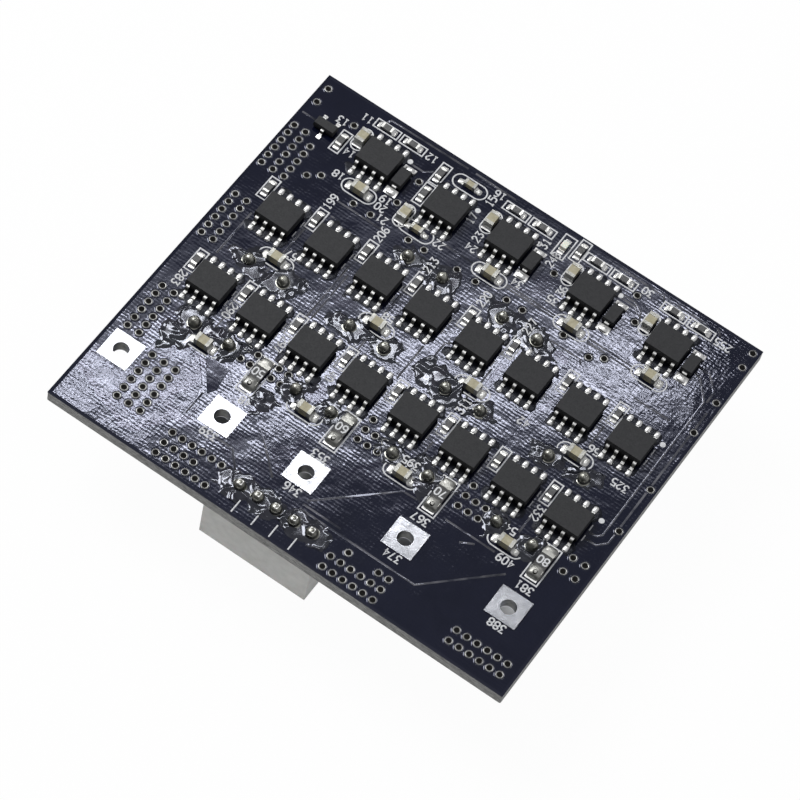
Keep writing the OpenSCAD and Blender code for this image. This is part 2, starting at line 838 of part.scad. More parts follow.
module switch_leads() {
    color("#cfd0cf")
        for (i = [0 : chips_in_row - 1]) {
            at_upper(i) chip_leads();
            at_lower(i) chip_leads();
        }
}

module diode(i) {
    color("#303134")
        at_diode(i) moulded_body(diode_l, diode_w, diode_h, chip_lift, chip_draft, small_lead_t);
}

module diode_leads() {
    color("#cfd0cf")
        for (i = [0 : 3])
            at_diode(i)
                for (side = [0, 180])
                    rotate(side) diode_lead();
}

// Diode lead towards +X, and the mound of solder over its foot
module diode_lead() {
    rotate(-90)
        gull_lead(diode_l, chip_lift + diode_h / 2, diode_lead_w, small_lead_t, small_bend_r,
            small_stub, diode_foot);
}

module diode_mound() {
    leg_x = diode_l / 2 + small_stub + small_bend_r + small_lead_t;
    difference() {
        toe(leg_x, mound_w, diode_span / 2 + mound_l - leg_x, mound_h);
        diode_lead();
    }
}

module transistor() {
    color("#303134")
        translate([transistor_at[0], transistor_at[1], top_z])
            moulded_body(transistor_l, transistor_w, transistor_h, chip_lift, chip_draft, small_lead_t);
}

module transistor_leads() {
    color("#cfd0cf")
        translate([transistor_at[0], transistor_at[1], top_z]) {
            for (x = [-transistor_pitch / 2, transistor_pitch / 2])
                translate([x, 0, 0]) transistor_lead();
            rotate(180) transistor_lead();
        }
}

module transistor_lead() {
    gull_lead(transistor_w, chip_lift + transistor_h / 2, transistor_lead_w, small_lead_t,
        small_bend_r, small_stub, transistor_foot);
}

module shunt(i) {
    color("#26272b") at_shunt(i) resistor_block(shunt_l, shunt_w, shunt_h);
}

module shunt_ends() {
    color("#d2d2ce")
        for (i = [0 : 3])
            at_shunt(i) resistor_ends(shunt_l, shunt_w, shunt_h, shunt_end);
}

module chip_resistors() {
    color("#3c3d42") at_resistors() resistor_block(res_l, res_w, res_h);
}

module chip_resistor_ends() {
    color("#d2d2ce") at_resistors() resistor_ends(res_l, res_w, res_h, res_end);
}

module chip_capacitors() {
    color("#a89a80") {
        at_capacitors() capacitor_block(cap_l, cap_w, cap_h);
        at_small_capacitors() capacitor_block(small_cap_l, small_cap_w, small_cap_h);
    }
}

module chip_capacitor_ends() {
    color("#d6d5cf") {
        at_capacitors() capacitor_ends(cap_l, cap_w, cap_h, cap_end);
        at_small_capacitors()
            capacitor_ends(small_cap_l, small_cap_w, small_cap_h, small_cap_end);
    }
}

module chip_light() {
    lens_l = light_l - 2 * res_end;
    color("#d9dcc8")
        translate([light_at[0], light_at[1], top_z])
            rotate(90) {
                resistor_block(light_l, light_w, light_base);
                translate([-lens_l / 2, -light_w / 2, light_base / 2])
                    cube([lens_l, light_w, light_base / 2 + light_lens]);
            }
}

module chip_light_ends() {
    color("#d6d5cf")
        translate([light_at[0], light_at[1], top_z])
            rotate(90) resistor_ends(light_l, light_w, light_base, res_end);
}

module can_1() can(0);
module can_2() can(1);
module can_3() can(2);
module can_4() can(3);
module can_5() can(4);
module can_6() can(5);
module can_7() can(6);
module can_8() can(7);
module can_9() can(8);
module can_10() can(9);
module driver_1() driver(0);
module driver_2() driver(1);
module driver_3() driver(2);
module driver_4() driver(3);
module switch_1() upper_switch(0);
module switch_2() upper_switch(1);
module switch_3() upper_switch(2);
module switch_4() upper_switch(3);
module switch_5() upper_switch(4);
module switch_6() upper_switch(5);
module switch_7() upper_switch(6);
module switch_8() upper_switch(7);
module switch_9() lower_switch(0);
module switch_10() lower_switch(1);
module switch_11() lower_switch(2);
module switch_12() lower_switch(3);
module switch_13() lower_switch(4);
module switch_14() lower_switch(5);
module switch_15() lower_switch(6);
module switch_16() lower_switch(7);
module diode_1() diode(0);
module diode_2() diode(1);
module diode_3() diode(2);
module diode_4() diode(3);
module shunt_1() shunt(0);
module shunt_2() shunt(1);
module shunt_3() shunt(2);
module shunt_4() shunt(3);

circuit_board();
via_lands();
wire_pads();
header_housing();
header_pins();
solder_joints();
solder_toes();
can_1();
can_2();
can_3();
can_4();
can_5();
can_6();
can_7();
can_8();
can_9();
can_10();
can_bungs();
can_leads();
driver_1();
driver_2();
driver_3();
driver_4();
clock_chip();
driver_leads();
switch_1();
switch_2();
switch_3();
switch_4();
switch_5();
switch_6();
switch_7();
switch_8();
switch_9();
switch_10();
switch_11();
switch_12();
switch_13();
switch_14();
switch_15();
switch_16();
switch_leads();
diode_1();
diode_2();
diode_3();
diode_4();
diode_leads();
transistor();
transistor_leads();
shunt_1();
shunt_2();
shunt_3();
shunt_4();
shunt_ends();
chip_resistors();
chip_resistor_ends();
chip_capacitors();
chip_capacitor_ends();
chip_light();
chip_light_ends();
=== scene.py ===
import math
from collections import Counter

import bpy
from mathutils import Matrix, Vector, noise


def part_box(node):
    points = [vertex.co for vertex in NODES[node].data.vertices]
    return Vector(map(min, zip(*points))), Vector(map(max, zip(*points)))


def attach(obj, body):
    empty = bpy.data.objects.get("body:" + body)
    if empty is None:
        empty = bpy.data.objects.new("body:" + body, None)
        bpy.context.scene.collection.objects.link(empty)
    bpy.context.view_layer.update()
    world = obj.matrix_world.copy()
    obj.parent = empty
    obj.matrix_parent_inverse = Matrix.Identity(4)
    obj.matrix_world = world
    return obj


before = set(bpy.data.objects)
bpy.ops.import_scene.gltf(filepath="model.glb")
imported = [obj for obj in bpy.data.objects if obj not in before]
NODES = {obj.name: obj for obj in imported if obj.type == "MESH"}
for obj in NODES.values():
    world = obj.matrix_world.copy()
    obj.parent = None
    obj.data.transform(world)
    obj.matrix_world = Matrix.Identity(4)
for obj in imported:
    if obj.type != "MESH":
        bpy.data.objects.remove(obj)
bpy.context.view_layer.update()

# Lengths below are millimetres in the part's own frame; MM turns them into metres.
MM = 0.001


def node_box(name):
    """The lowest and the highest corner of a CAD node."""
    low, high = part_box(name)
    return low / MM, high / MM


BOARD_CORNER = node_box("circuit_board")[1]
TOP = BOARD_CORNER.z
HALF_W, HALF_D = BOARD_CORNER.x, BOARD_CORNER.y


# Shader nodes

def plug(tree, socket, value):
    """Links a socket to another one, or sets a plain value on it."""
    if isinstance(value, bpy.types.NodeSocket):
        tree.links.new(value, socket)
    else:
        socket.default_value = value


def math_node(tree, operation, *values):
    node = tree.nodes.new("ShaderNodeMath")
    node.operation = operation
    for socket, value in zip(node.inputs, values):
        plug(tree, socket, value)
    return node.outputs[0]


def ramp_node(tree, factor, stops):
    """A colour ramp; each stop is a position with a colour or a plain number."""
    node = tree.nodes.new("ShaderNodeValToRGB")
    plug(tree, node.inputs[0], factor)
    elements = node.color_ramp.elements
    while len(elements) < len(stops):
        elements.new(0.5)
    for element, (position, value) in zip(elements, stops):
        element.position = position
        rgb = value if isinstance(value, tuple) else (value,) * 3
        element.color = (*rgb, 1.0)
    return node.outputs[0]


class Shader:
    """A Principled material whose textures are measured in millimetres of the part's frame."""

    def __init__(self, name, metallic=0.0, specular=0.5, **sockets):
        self.material = bpy.data.materials.new(name)
        self.material.use_nodes = True
        self.tree = self.material.node_tree
        self.bsdf = self.tree.nodes["Principled BSDF"]
        self.set("Metallic", metallic)
        self.set("Specular IOR Level", specular)
        for socket, value in sockets.items():
            self.set(socket.replace("_", " "), value)
        place = self.tree.nodes.new("ShaderNodeTexCoord").outputs["Object"]
        scale = self.tree.nodes.new("ShaderNodeVectorMath")
        scale.operation = "SCALE"
        scale.inputs["Scale"].default_value = 1 / MM
        self.tree.links.new(place, scale.inputs[0])
        self.place = scale.outputs[0]

    def plug(self, socket, value):
        plug(self.tree, socket, value)

    def set(self, socket, value):
        self.plug(self.bsdf.inputs[socket], value)

    def math(self, operation, *values):
        return math_node(self.tree, operation, *values)

    def ramp(self, factor, *stops):
        return ramp_node(self.tree, factor, stops)

    def noise(self, scale, detail=2.0, roughness=0.5, stretch=None):
        """Noise with about scale blotches a millimetre."""
        node = self.tree.nodes.new("ShaderNodeTexNoise")
        self.plug(node.inputs["Vector"], self.stretched(stretch))
        for socket, value in (("Scale", scale), ("Detail", detail), ("Roughness", roughness)):
            node.inputs[socket].default_value = value
        return node.outputs[0]

    def stretched(self, stretch):
        """The place, scaled along each axis if a stretch is given."""
        if stretch is None:
            return self.place
        node = self.tree.nodes.new("ShaderNodeMapping")
        node.inputs["Scale"].default_value = stretch
        self.plug(node.inputs["Vector"], self.place)
        return node.outputs[0]

    def wave(self, axis, period, distortion, detail_scale=1.0):
        """Bands along an axis. At scale 1, Blender's own period is 2 pi / 20."""
        node = self.tree.nodes.new("ShaderNodeTexWave")
        node.wave_type = "BANDS"
        node.bands_direction = axis
        self.plug(node.inputs["Vector"], self.place)
        node.inputs["Scale"].default_value = 2 * math.pi / (20 * period)
        node.inputs["Distortion"].default_value = distortion
        node.inputs["Detail Scale"].default_value = detail_scale
        return node.outputs["Fac"]

    def axes(self, vector):
        """The X, Y and Z outputs of a vector."""
        parts = self.tree.nodes.new("ShaderNodeSeparateXYZ")
        self.plug(parts.inputs[0], vector)
        return parts.outputs

    def lift(self):
        """How far a face looks up: 1 level, 0 upright, -1 underneath."""
        normal = self.tree.nodes.new("ShaderNodeNewGeometry").outputs["True Normal"]
        return self.axes(normal)["Z"]

    def mix(self, factor, a, b):
        node = self.tree.nodes.new("ShaderNodeMixRGB")
        for socket, value in zip(node.inputs, (factor, a, b)):
            if isinstance(value, tuple):
                value = (*value, 1.0)
            self.plug(socket, value)
        return node.outputs[0]

    def bump(self, height, depth):
        """Relief of the given depth in millimetres, over the relief that is there."""
        node = self.tree.nodes.new("ShaderNodeBump")
        node.inputs["Distance"].default_value = depth * MM
        self.plug(node.inputs["Height"], height)
        if self.bsdf.inputs["Normal"].is_linked:
            self.plug(node.inputs["Normal"], self.bsdf.inputs["Normal"].links[0].from_socket)
        self.set("Normal", node.outputs[0])


# Materials

def grained(name, dark, light, rough, scale, relief, metallic=0.0, specular=0.5, layers=None, **sockets):
    """Mottled colour and gloss, a finer relief, and faint layer lines if they have a period."""
    shader = Shader(name, metallic, specular, **sockets)
    spots = shader.noise(scale, 4.0, 0.6)
    shader.set("Base Color", shader.ramp(spots, (0.3, dark), (0.7, light)))
    wear = shader.noise(scale * 0.6)
    shader.set("Roughness", shader.ramp(wear, (0.3, rough[0]), (0.7, rough[1])))
    shader.bump(shader.noise(scale * 2.5, 3.0), relief)
    if layers:
        shader.bump(shader.wave("Z", layers, 0.6), 0.004)
    return shader.material


def solder_mask(name, weave, speckle):
    """Blue-black mask; glass cloth shows through as broken lines, copper as fine speckle."""
    shader = Shader(name, Specular_Tint=(0.79, 0.82, 1.0, 1.0))
    tint = shader.ramp(shader.noise(0.25, 4.0, 0.6), (0.3, (0.0022, 0.0032, 0.0105)),
                       (0.7, (0.0040, 0.0052, 0.0150)))
    gloss = shader.ramp(shader.noise(0.8, 3.0), (0.3, 0.048), (0.7, 0.070))
    shader.bump(shader.noise(0.22, 3.0), 0.045)
    weft = shader.math("MULTIPLY", shader.wave("X", 0.55, 4.0, 1.6), 0.5)
    cloth = shader.math("ADD", weft, shader.wave("Y", 0.46, 3.0, 1.3))
    patches = shader.ramp(shader.noise(0.45, 4.0, 0.65), (0.38, 0.20), (0.62, 1.0))
    shader.bump(shader.math("MULTIPLY", cloth, patches), weave)
    dots = shader.ramp(shader.noise(0.6, 3.0), (0.35, 0.35), (0.65, 1.0))
    shader.bump(shader.math("MULTIPLY", shader.noise(3.4, 2.0, 0.6), dots), speckle)
    shader.set("Base Color", tint)
    shader.set("Roughness", gloss)
    return shader, tint, gloss


# Faces this near the board's outline are its cut edges, and other upright faces are holes.
EDGE_BAND = 0.15


def board_look():
    """Mask on both faces, glass laminate on the cut edges, and in the holes tinned copper painted dark as
    shade.
    """
    shader, tint, gloss = solder_mask("board_mask", 0.0023, 0.0030)
    upright = shader.math("LESS_THAN", shader.math("ABSOLUTE", shader.lift()), 0.5)
    spot = shader.axes(shader.place)
    across = shader.math("GREATER_THAN", shader.math("ABSOLUTE", spot["X"]), HALF_W - EDGE_BAND)
    along = shader.math("GREATER_THAN", shader.math("ABSOLUTE", spot["Y"]), HALF_D - EDGE_BAND)
    edge = shader.math("MULTIPLY", upright, shader.math("MAXIMUM", across, along))
    hole = shader.math("SUBTRACT", upright, edge)
    layers = shader.noise(3.0, 3.0, 0.6, stretch=(0.5, 0.5, 4.0))
    laminate = shader.ramp(layers, (0.35, (0.14, 0.14, 0.13)), (0.65, (0.46, 0.46, 0.44)))
    # The plating in the holes is painted dark: painted shade inside the holes.
    hole_tin_painted_shade = shader.ramp(shader.noise(2.0), (0.3, (0.08, 0.08, 0.07)), (0.7, (0.18, 0.18, 0.16)))
    shader.set("Base Color", shader.mix(hole, shader.mix(edge, tint, laminate), hole_tin_painted_shade))
    faces_rough = shader.mix(edge, gloss, (0.75, 0.75, 0.75))
    shader.set("Roughness", shader.mix(hole, faces_rough, (0.5, 0.5, 0.5)))
    shader.set("Metallic", hole)
    return shader.material


def track_look():
    """Mask over tracks, thin enough in places for the copper to pale it."""
    shader = solder_mask("track_edge", 0.0008, 0.002)[0]
    thin = shader.noise(0.5)
    shader.set("Base Color", shader.ramp(thin, (0.35, (0.020, 0.022, 0.030)), (0.60, (0.11, 0.11, 0.12))))
    return shader.material


def lead_look():
    """Tinned leads with painted light and shade: bright where they face up or down, painted dark as shade
    on the upright legs.
    """
    shader = Shader("tinned_lead", metallic=1.0)
    spots = shader.noise(1.5, 4.0, 0.6)
    # The bright and the dull colour are lit and shaded copies of one metal, picked by how a face leans:
    # painted light and painted shade.
    bright = shader.ramp(spots, (0.3, (0.62, 0.62, 0.61)), (0.7, (0.82, 0.82, 0.80)))
    dull = shader.ramp(spots, (0.3, (0.035, 0.035, 0.032)), (0.7, (0.09, 0.09, 0.08)))
    painted_light_by_facing = shader.ramp(shader.math("ABSOLUTE", shader.lift()), (0.35, 0.0), (0.75, 1.0))
    shader.set("Base Color", shader.mix(painted_light_by_facing, dull, bright))
    shader.set("Roughness", shader.ramp(shader.noise(1.2), (0.3, 0.40), (0.7, 0.52)))
    shader.bump(shader.noise(3.5, 3.0), 0.004)
    return shader.material


def silk():
    """White legend ink, a little worn."""
    shader = Shader("legend_ink", specular=0.3)
    wear = shader.noise(4.0, 4.0, 0.7)
    shader.set("Base Color", shader.ramp(wear, (0.28, (0.36, 0.37, 0.39)), (0.5, (0.66, 0.67, 0.68))))
    shader.set("Roughness", shader.ramp(shader.noise(1.5), (0.3, 0.45), (0.7, 0.62)))
    shader.bump(shader.noise(9.0), 0.01)
    return shader.material


def flux(name, specular, rough):
    """Hardened flux: dark, and as glassy or dull as its two numbers say."""
    shader = Shader(name, specular=specular, Specular_Tint=(0.86, 0.89, 1.0, 1.0))
    shader.set("Base Color", shader.ramp(shader.noise(0.9, 3.0), (0.35, (0.0025, 0.003, 0.006)),
                                         (0.7, (0.006, 0.0065, 0.010))))
    shader.set("Roughness", shader.ramp(shader.noise(1.4), (0.3, rough), (0.7, rough * 2)))
    shader.bump(shader.noise(1.1), 0.004)
    return shader.material


# In the rows below: dark and light colour, range of roughness, blotches a millimetre, depth of relief
BLACK_EPOXY = grained("black_epoxy", (0.014, 0.0145, 0.016), (0.024, 0.025, 0.027), (0.55, 0.7), 5.0, 0.008,
                      specular=0.35)
LEAD = lead_look()
SOLDER = grained("solder", (0.74, 0.74, 0.73), (0.90, 0.90, 0.88), (0.28, 0.42), 0.8, 0.016, metallic=1.0)
DULL = grained("joint_solder", (0.17, 0.17, 0.15), (0.40, 0.40, 0.36), (0.22, 0.38), 0.9, 0.020,
               metallic=1.0)
PLATED = grained("plated_end", (0.56, 0.56, 0.54), (0.74, 0.74, 0.71), (0.24, 0.40), 1.5, 0.006,
                 metallic=1.0)
PAD = grained("tinned_pad", (0.33, 0.34, 0.37), (0.46, 0.47, 0.50), (0.15, 0.24), 0.7, 0.006, metallic=1.0)
RING = grained("via_ring", (0.12, 0.12, 0.12), (0.34, 0.34, 0.33), (0.28, 0.48), 1.2, 0.030, metallic=1.0)
CAP_END = grained("capacitor_end", (0.27, 0.27, 0.255), (0.46, 0.46, 0.43), (0.30, 0.46), 1.5, 0.006,
                  metallic=1.0)
ALUMINIUM = grained("can_aluminium", (0.62, 0.63, 0.64), (0.74, 0.75, 0.76), (0.28, 0.42), 0.8, 0.006,
                    metallic=1.0)
RUBBER = grained("bung_rubber", (0.012, 0.012, 0.012), (0.030, 0.030, 0.030), (0.6, 0.8), 3.0, 0.015)
NYLON = grained("header_nylon", (0.60, 0.60, 0.57), (0.70, 0.70, 0.67), (0.38, 0.55), 0.9, 0.008,
                Subsurface_Weight=0.1, Subsurface_Scale=0.001)
GLAZE = grained("resistor_glaze", (0.040, 0.041, 0.043), (0.090, 0.090, 0.090), (0.25, 0.45), 3.0, 0.006)
SHUNT = grained("shunt_coat", (0.016, 0.016, 0.017), (0.050, 0.050, 0.050), (0.3, 0.5), 2.0, 0.015)
CERAMIC = grained("capacitor_ceramic", (0.28, 0.255, 0.165), (0.42, 0.39, 0.275), (0.42, 0.58), 2.2, 0.006,
                  layers=0.12)
RESIN = grained("light_resin", (0.62, 0.64, 0.56), (0.78, 0.80, 0.70), (0.2, 0.35), 2.0, 0.008,
                Subsurface_Weight=0.2, Subsurface_Scale=0.0005)
# Near-black for the bottoms of the via bores and the shunts' solder pits: painted shade.
PAINTED_SHADE_BLACK = grained("via_bore", (0.001, 0.001, 0.001), (0.006, 0.005, 0.004), (0.6, 0.8), 3.0, 0.01,
               specular=0.1)
BOARD = board_look()
TRACK = solder_mask("track_mask", 0.0008, 0.002)[0].material
TRACK_EDGE = track_look()
POUR = solder_mask("pour_mask", 0.0020, 0.0072)[0].material
INK = silk()
FLUX = flux("joint_flux", 0.85, 0.07)
ROW_FLUX = flux("row_flux", 0.25, 0.2)

# The longest start of a node's name that is listed here gives its look.
LOOKS = {
    "circuit_board": BOARD, "via_lands": RING, "wire_pads": PAD,
    "header_housing": NYLON, "header_pins": LEAD, "solder_joints": DULL, "solder_toes": SOLDER,
    "can_bungs": RUBBER, "can_leads": DULL, "can_": ALUMINIUM,
    "shunt_ends": CAP_END, "shunt_": SHUNT, "chip_resistor_ends": PLATED, "chip_resistors": GLAZE,
    "chip_capacitor_ends": CAP_END, "chip_capacitors": CERAMIC,
    "chip_light_ends": PLATED, "chip_light": RESIN,
    "driver_leads": LEAD, "switch_leads": LEAD, "diode_leads": LEAD, "transistor_leads": LEAD,
    "driver_": BLACK_EPOXY, "clock_chip": BLACK_EPOXY, "switch_": BLACK_EPOXY,
    "diode_": BLACK_EPOXY, "transistor": BLACK_EPOXY,
}
for node_name, node_object in NODES.items():
    start = max((key for key in LOOKS if node_name.startswith(key)), key=len)
    for material_slot in node_object.material_slots:
        material_slot.material = LOOKS[start]


# Mesh tools

# Shares of a strip's width and height, from one side to the other
RIDGE = ((-0.5, 0.0), (-0.36, 0.55), (-0.16, 0.92), (0.0, 1.0), (0.16, 0.92), (0.36, 0.55), (0.5, 0.0))
# Shares of a mound's width and height, from its foot to its top
MOUND = ((1.0, 0.0), (0.93, 0.45), (0.75, 0.8), (0.45, 0.97), (0.15, 1.0))
# How far the sides of a ribbon lean in, and how far a mitred corner may reach
RIBBON_SLOPE, MITRE_LIMIT = 0.04, 1.5


class Mesh:
    """Collects the faces of one piece, in millimetres."""

    def __init__(self, name):
        self.name = name
        self.points = []
        self.faces = []

    def face_ring(self, *rings, closed=True):
        """Joins rings of equal length with quads; returns the index lists of the rings."""
        numbers = []
        for ring in rings:
            start = len(self.points)
            self.points.extend(ring)
            numbers.append(list(range(start, len(self.points))))
        for low, high in zip(numbers, numbers[1:]):
            count = len(low)
            for i in range(count if closed else count - 1):
                j = (i + 1) % count
                self.faces.append((low[i], low[j], high[j], high[i]))
        return numbers

    def strip(self, rings, closed):
        """Joins lines side by side, and closes both ends unless the strip runs round."""
        numbers = self.face_ring(*rings, closed=closed)
        if not closed:
            self.faces.append(tuple(ring[0] for ring in numbers))
            self.faces.append(tuple(ring[-1] for ring in reversed(numbers)))

    def slab(self, outline, low, high, inset, fall=0.0):
        """A flat plate with sloping edges over an outline; its top may fall towards +X."""
        area = sum(a[0] * b[1] - b[0] * a[1] for a, b in zip(outline, outline[1:] + outline[:1]))
        if area < 0:
            outline = outline[::-1]
        inner = offset_path(outline, inset, True)
        end = max(x for x, y in outline)
        top = [(x, y, high + fall * (end - x)) for x, y in inner]
        rings = self.face_ring([(x, y, low) for x, y in outline], top)
        self.faces.append(tuple(rings[-1]))

    def ribbon(self, path, width, low, high, closed=False):
        """A strip of even width along a path on the board, with sloping sides."""
        rings = []
        for side, level in ((-0.5, low), (-0.5, high), (0.5, high), (0.5, low)):
            reach = side * width - math.copysign(RIBBON_SLOPE if level == high else 0.0, side)
            rings.append([(x, y, level) for x, y in offset_path(path, reach, closed)])
        self.strip(rings, closed)

    def ridge(self, path, width, height):
        """A low rounded strip along a path on the board."""
        rings = []
        for side, lift in RIDGE:
            rings.append([(x, y, TOP + lift * height) for x, y in offset_path(path, side * width, False)])
        self.strip(rings, False)

    def turned(self, x, y, profile, sides, lid=False):
        """A form turned about an upright axis, from radius and height above the board, outside first."""
        rings = [[(px, py, TOP + z) for px, py in circle(x, y, r, sides)] for r, z in profile]
        numbers = self.face_ring(*rings)
        if lid:
            self.faces.append(tuple(numbers[-1]))

    def mound(self, x, y, width, depth, height, sides=24):
        """A low dome with a rounded-box outline."""
        rings = []
        for share, lift in MOUND:
            ring = []
            for u, v in circle(0, 0, 1, sides):
                reach = (u ** 4 + v ** 4) ** -0.25 * share / 2
                ring.append((x + u * reach * width, y + v * reach * depth, TOP + lift * height))
            rings.append(ring)
        self.faces.append(tuple(self.face_ring(*rings)[-1]))

    def finish(self, material, slot, smooth=False):
        """Makes the piece, which rides on the part's one body."""
        data = bpy.data.meshes.new(self.name)
        data.from_pydata([Vector(p) * MM for p in self.points], [], self.faces)
        data.materials.append(material)
        data.validate()
        data.update()
        if smooth:
            data.polygons.foreach_set("use_smooth", [True] * len(data.polygons))
        piece = bpy.data.objects.new(self.name, data)
        bpy.context.scene.collection.objects.link(piece)
        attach(piece, "root")


def circle(x, y, radius, sides):
    turns = [2 * math.pi * i / sides for i in range(sides)]
    return [(x + radius * math.cos(turn), y + radius * math.sin(turn)) for turn in turns]


def offset_path(path, reach, closed):
    """The path moved sideways by reach, with mitred corners."""
    moved = []
    count = len(path)
    for i, (x, y) in enumerate(path):
        before = path[i - 1] if i or closed else None
        after = path[(i + 1) % count] if i < count - 1 or closed else None
        normals = []
        for a, b in ((before, (x, y)), ((x, y), after)):
            if a is not None and b is not None:
                dx, dy = b[0] - a[0], b[1] - a[1]
                length = math.hypot(dx, dy)
                normals.append((-dy / length, dx / length))
        nx, ny = sum(n[0] for n in normals), sum(n[1] for n in normals)
        square = nx * nx + ny * ny
        stretch = min(len(normals) / square, MITRE_LIMIT / math.sqrt(square))
        moved.append((x + nx * stretch * reach, y + ny * stretch * reach))
    return moved


def linked(groups):
    """A lookup with one answer for all the points that a chain of groups joins."""
    parent = {}

    def root(i):
        while parent.setdefault(i, i) != i:
            parent[i] = parent[parent[i]]
            i = parent[i]
        return i

    for first, *rest in groups:
        for other in rest:
            parent[root(other)] = root(first)
    return root


def islands(name):
    """Boxes (low corner, high corner) of the separate bodies of a CAD node."""
    mesh = NODES[name].data
    spots = {}
    number = [spots.setdefault(tuple(round(c * 1e6) for c in v.co), len(spots)) for v in mesh.vertices]
    root = linked([number[i] for i in polygon.vertices] for polygon in mesh.polygons)
    boxes = {}
    for spot, i in spots.items():
        point = Vector(spot) * 1e-6 / MM
        low, high = boxes.setdefault(root(i), (point.copy(), point.copy()))
        for axis in range(3):
            low[axis] = min(low[axis], point[axis])
            high[axis] = max(high[axis], point[axis])
    return sorted(boxes.values(), key=lambda box: (round(box[0].x, 2), round(box[0].y, 2)))


def middle(box):
    return (box[0].x + box[1].x) / 2, (box[0].y + box[1].y) / 2


def extent(box):
    return box[1].x - box[0].x, box[1].y - box[0].y


# Copper under the mask, placed along the lines that the photograph shows

TRACK_HEIGHT, TRACK_WIDTH = 0.008, 0.26
TRACKS = [
    [(-22.4, 27.6), (-22.1, 28.3), (-10.7, 28.4)],
    [(-9.6, 28.4), (-3.6, 28.3)],
    [(-16.8, 24.5), (-14.8, 24.5), (-14, 25.2), (-13.6, 25.3)],
    [(-31.5, 22.4), (-29.5, 22.4)],
    [(-20.7, 14.3), (-14.1, 14.3)],
    [(-27.2, 11.7), (-26.3, 11.7)],
    [(-20, 12), (-18.7, 12)],
    [(-7.3, 17.3), (-2.6, 17.3)],
    [(2.2, 17.4), (9.3, 17.4)],
    [(2.2, 17), (9.3, 17)],
    [(14.2, 17.2), (20.9, 17.2)],
    [(14.2, 16.7), (20.9, 16.7)],
    [(14.2, 24.6), (16.2, 24.6), (16.9, 23.9), (17.6, 23.7)],
    [(14, 25.1), (15.9, 25.1), (17.2, 24.3), (17.8, 23)],
    [(11.8, 28.1), (18.2, 28.1), (18.8, 27.3)],
    [(20.2, 28), (24.4, 28), (25.1, 27.2)],
    [(25.8, 28.3), (26.7, 27.6)],
    [(26.7, 22.2), (28.5, 22.2), (30.2, 20.3), (30.2, 18.6)],
    [(26.9, 21.3), (27.8, 21), (29.4, 19.1), (29.9, 18.4), (29.9, -4.3), (29.4, -4.9), (28.4, -5)],
    [(31, 17.4), (31, -4.8), (30, -5.9), (28.5, -6)],
    [(10.7, 14.1), (14.9, 14.1), (15.4, 13.5)],
    [(22.9, 13.7), (28, 13.7)],
    [(-27.8, 6.3), (-27.8, -1)],
    [(-21.5, 8.5), (-21.5, 3.9)],
    [(-21.6, 1.2), (-21.6, -1.4)],
    [(-14.2, 7.5), (-14.2, -1.9)],
    [(-13.6, 6.3), (-13.6, -1.4)],
    [(-7.1, 8.2), (-7.1, 3.9)],
    [(-6.8, 1.5), (-6.8, -1.9)],
    [(-0.9, 3.9), (-0.9, -1.9)],
    [(0.9, 1.9), (0.9, 5.8), (1.8, 6.4)],
    [(7.3, 6.3), (7.3, 3.9)],
    [(7.1, 1.9), (7.1, 0)],
    [(22.2, 8.2), (22.2, 4.8)],
    [(0, -22.6), (5.3, -22.6)],
    [(0, -23.3), (16.1, -23.3), (23.7, -15.6)],
    [(0.1, -22), (8.2, -14), (10.2, -13.9)],
    [(14.2, -14), (21.1, -14)],
    [(17.1, -15.5), (18.7, -14.6)],
    [(-10.2, -16.8), (-4.8, -22)],
    [(-15.3, -21.7), (-10.7, -21.7), (-8.8, -23.8)],
    [(21.9, -7.2), (21.9, -10.1)],
    [(-21.8, -7.7), (-21.8, -9.7)],
    [(7.3, -6.3), (7.2, -9.7)],
    [(-7.1, -9.2), (-7.1, -11.1)],
    [(-17.75, -21.2), (-17.75, -17.7)],
]
tracks = Mesh("tracks")
for path in TRACKS:
    tracks.ridge(path, TRACK_WIDTH, TRACK_HEIGHT)
tracks.finish(TRACK_EDGE, "masked_copper", smooth=True)

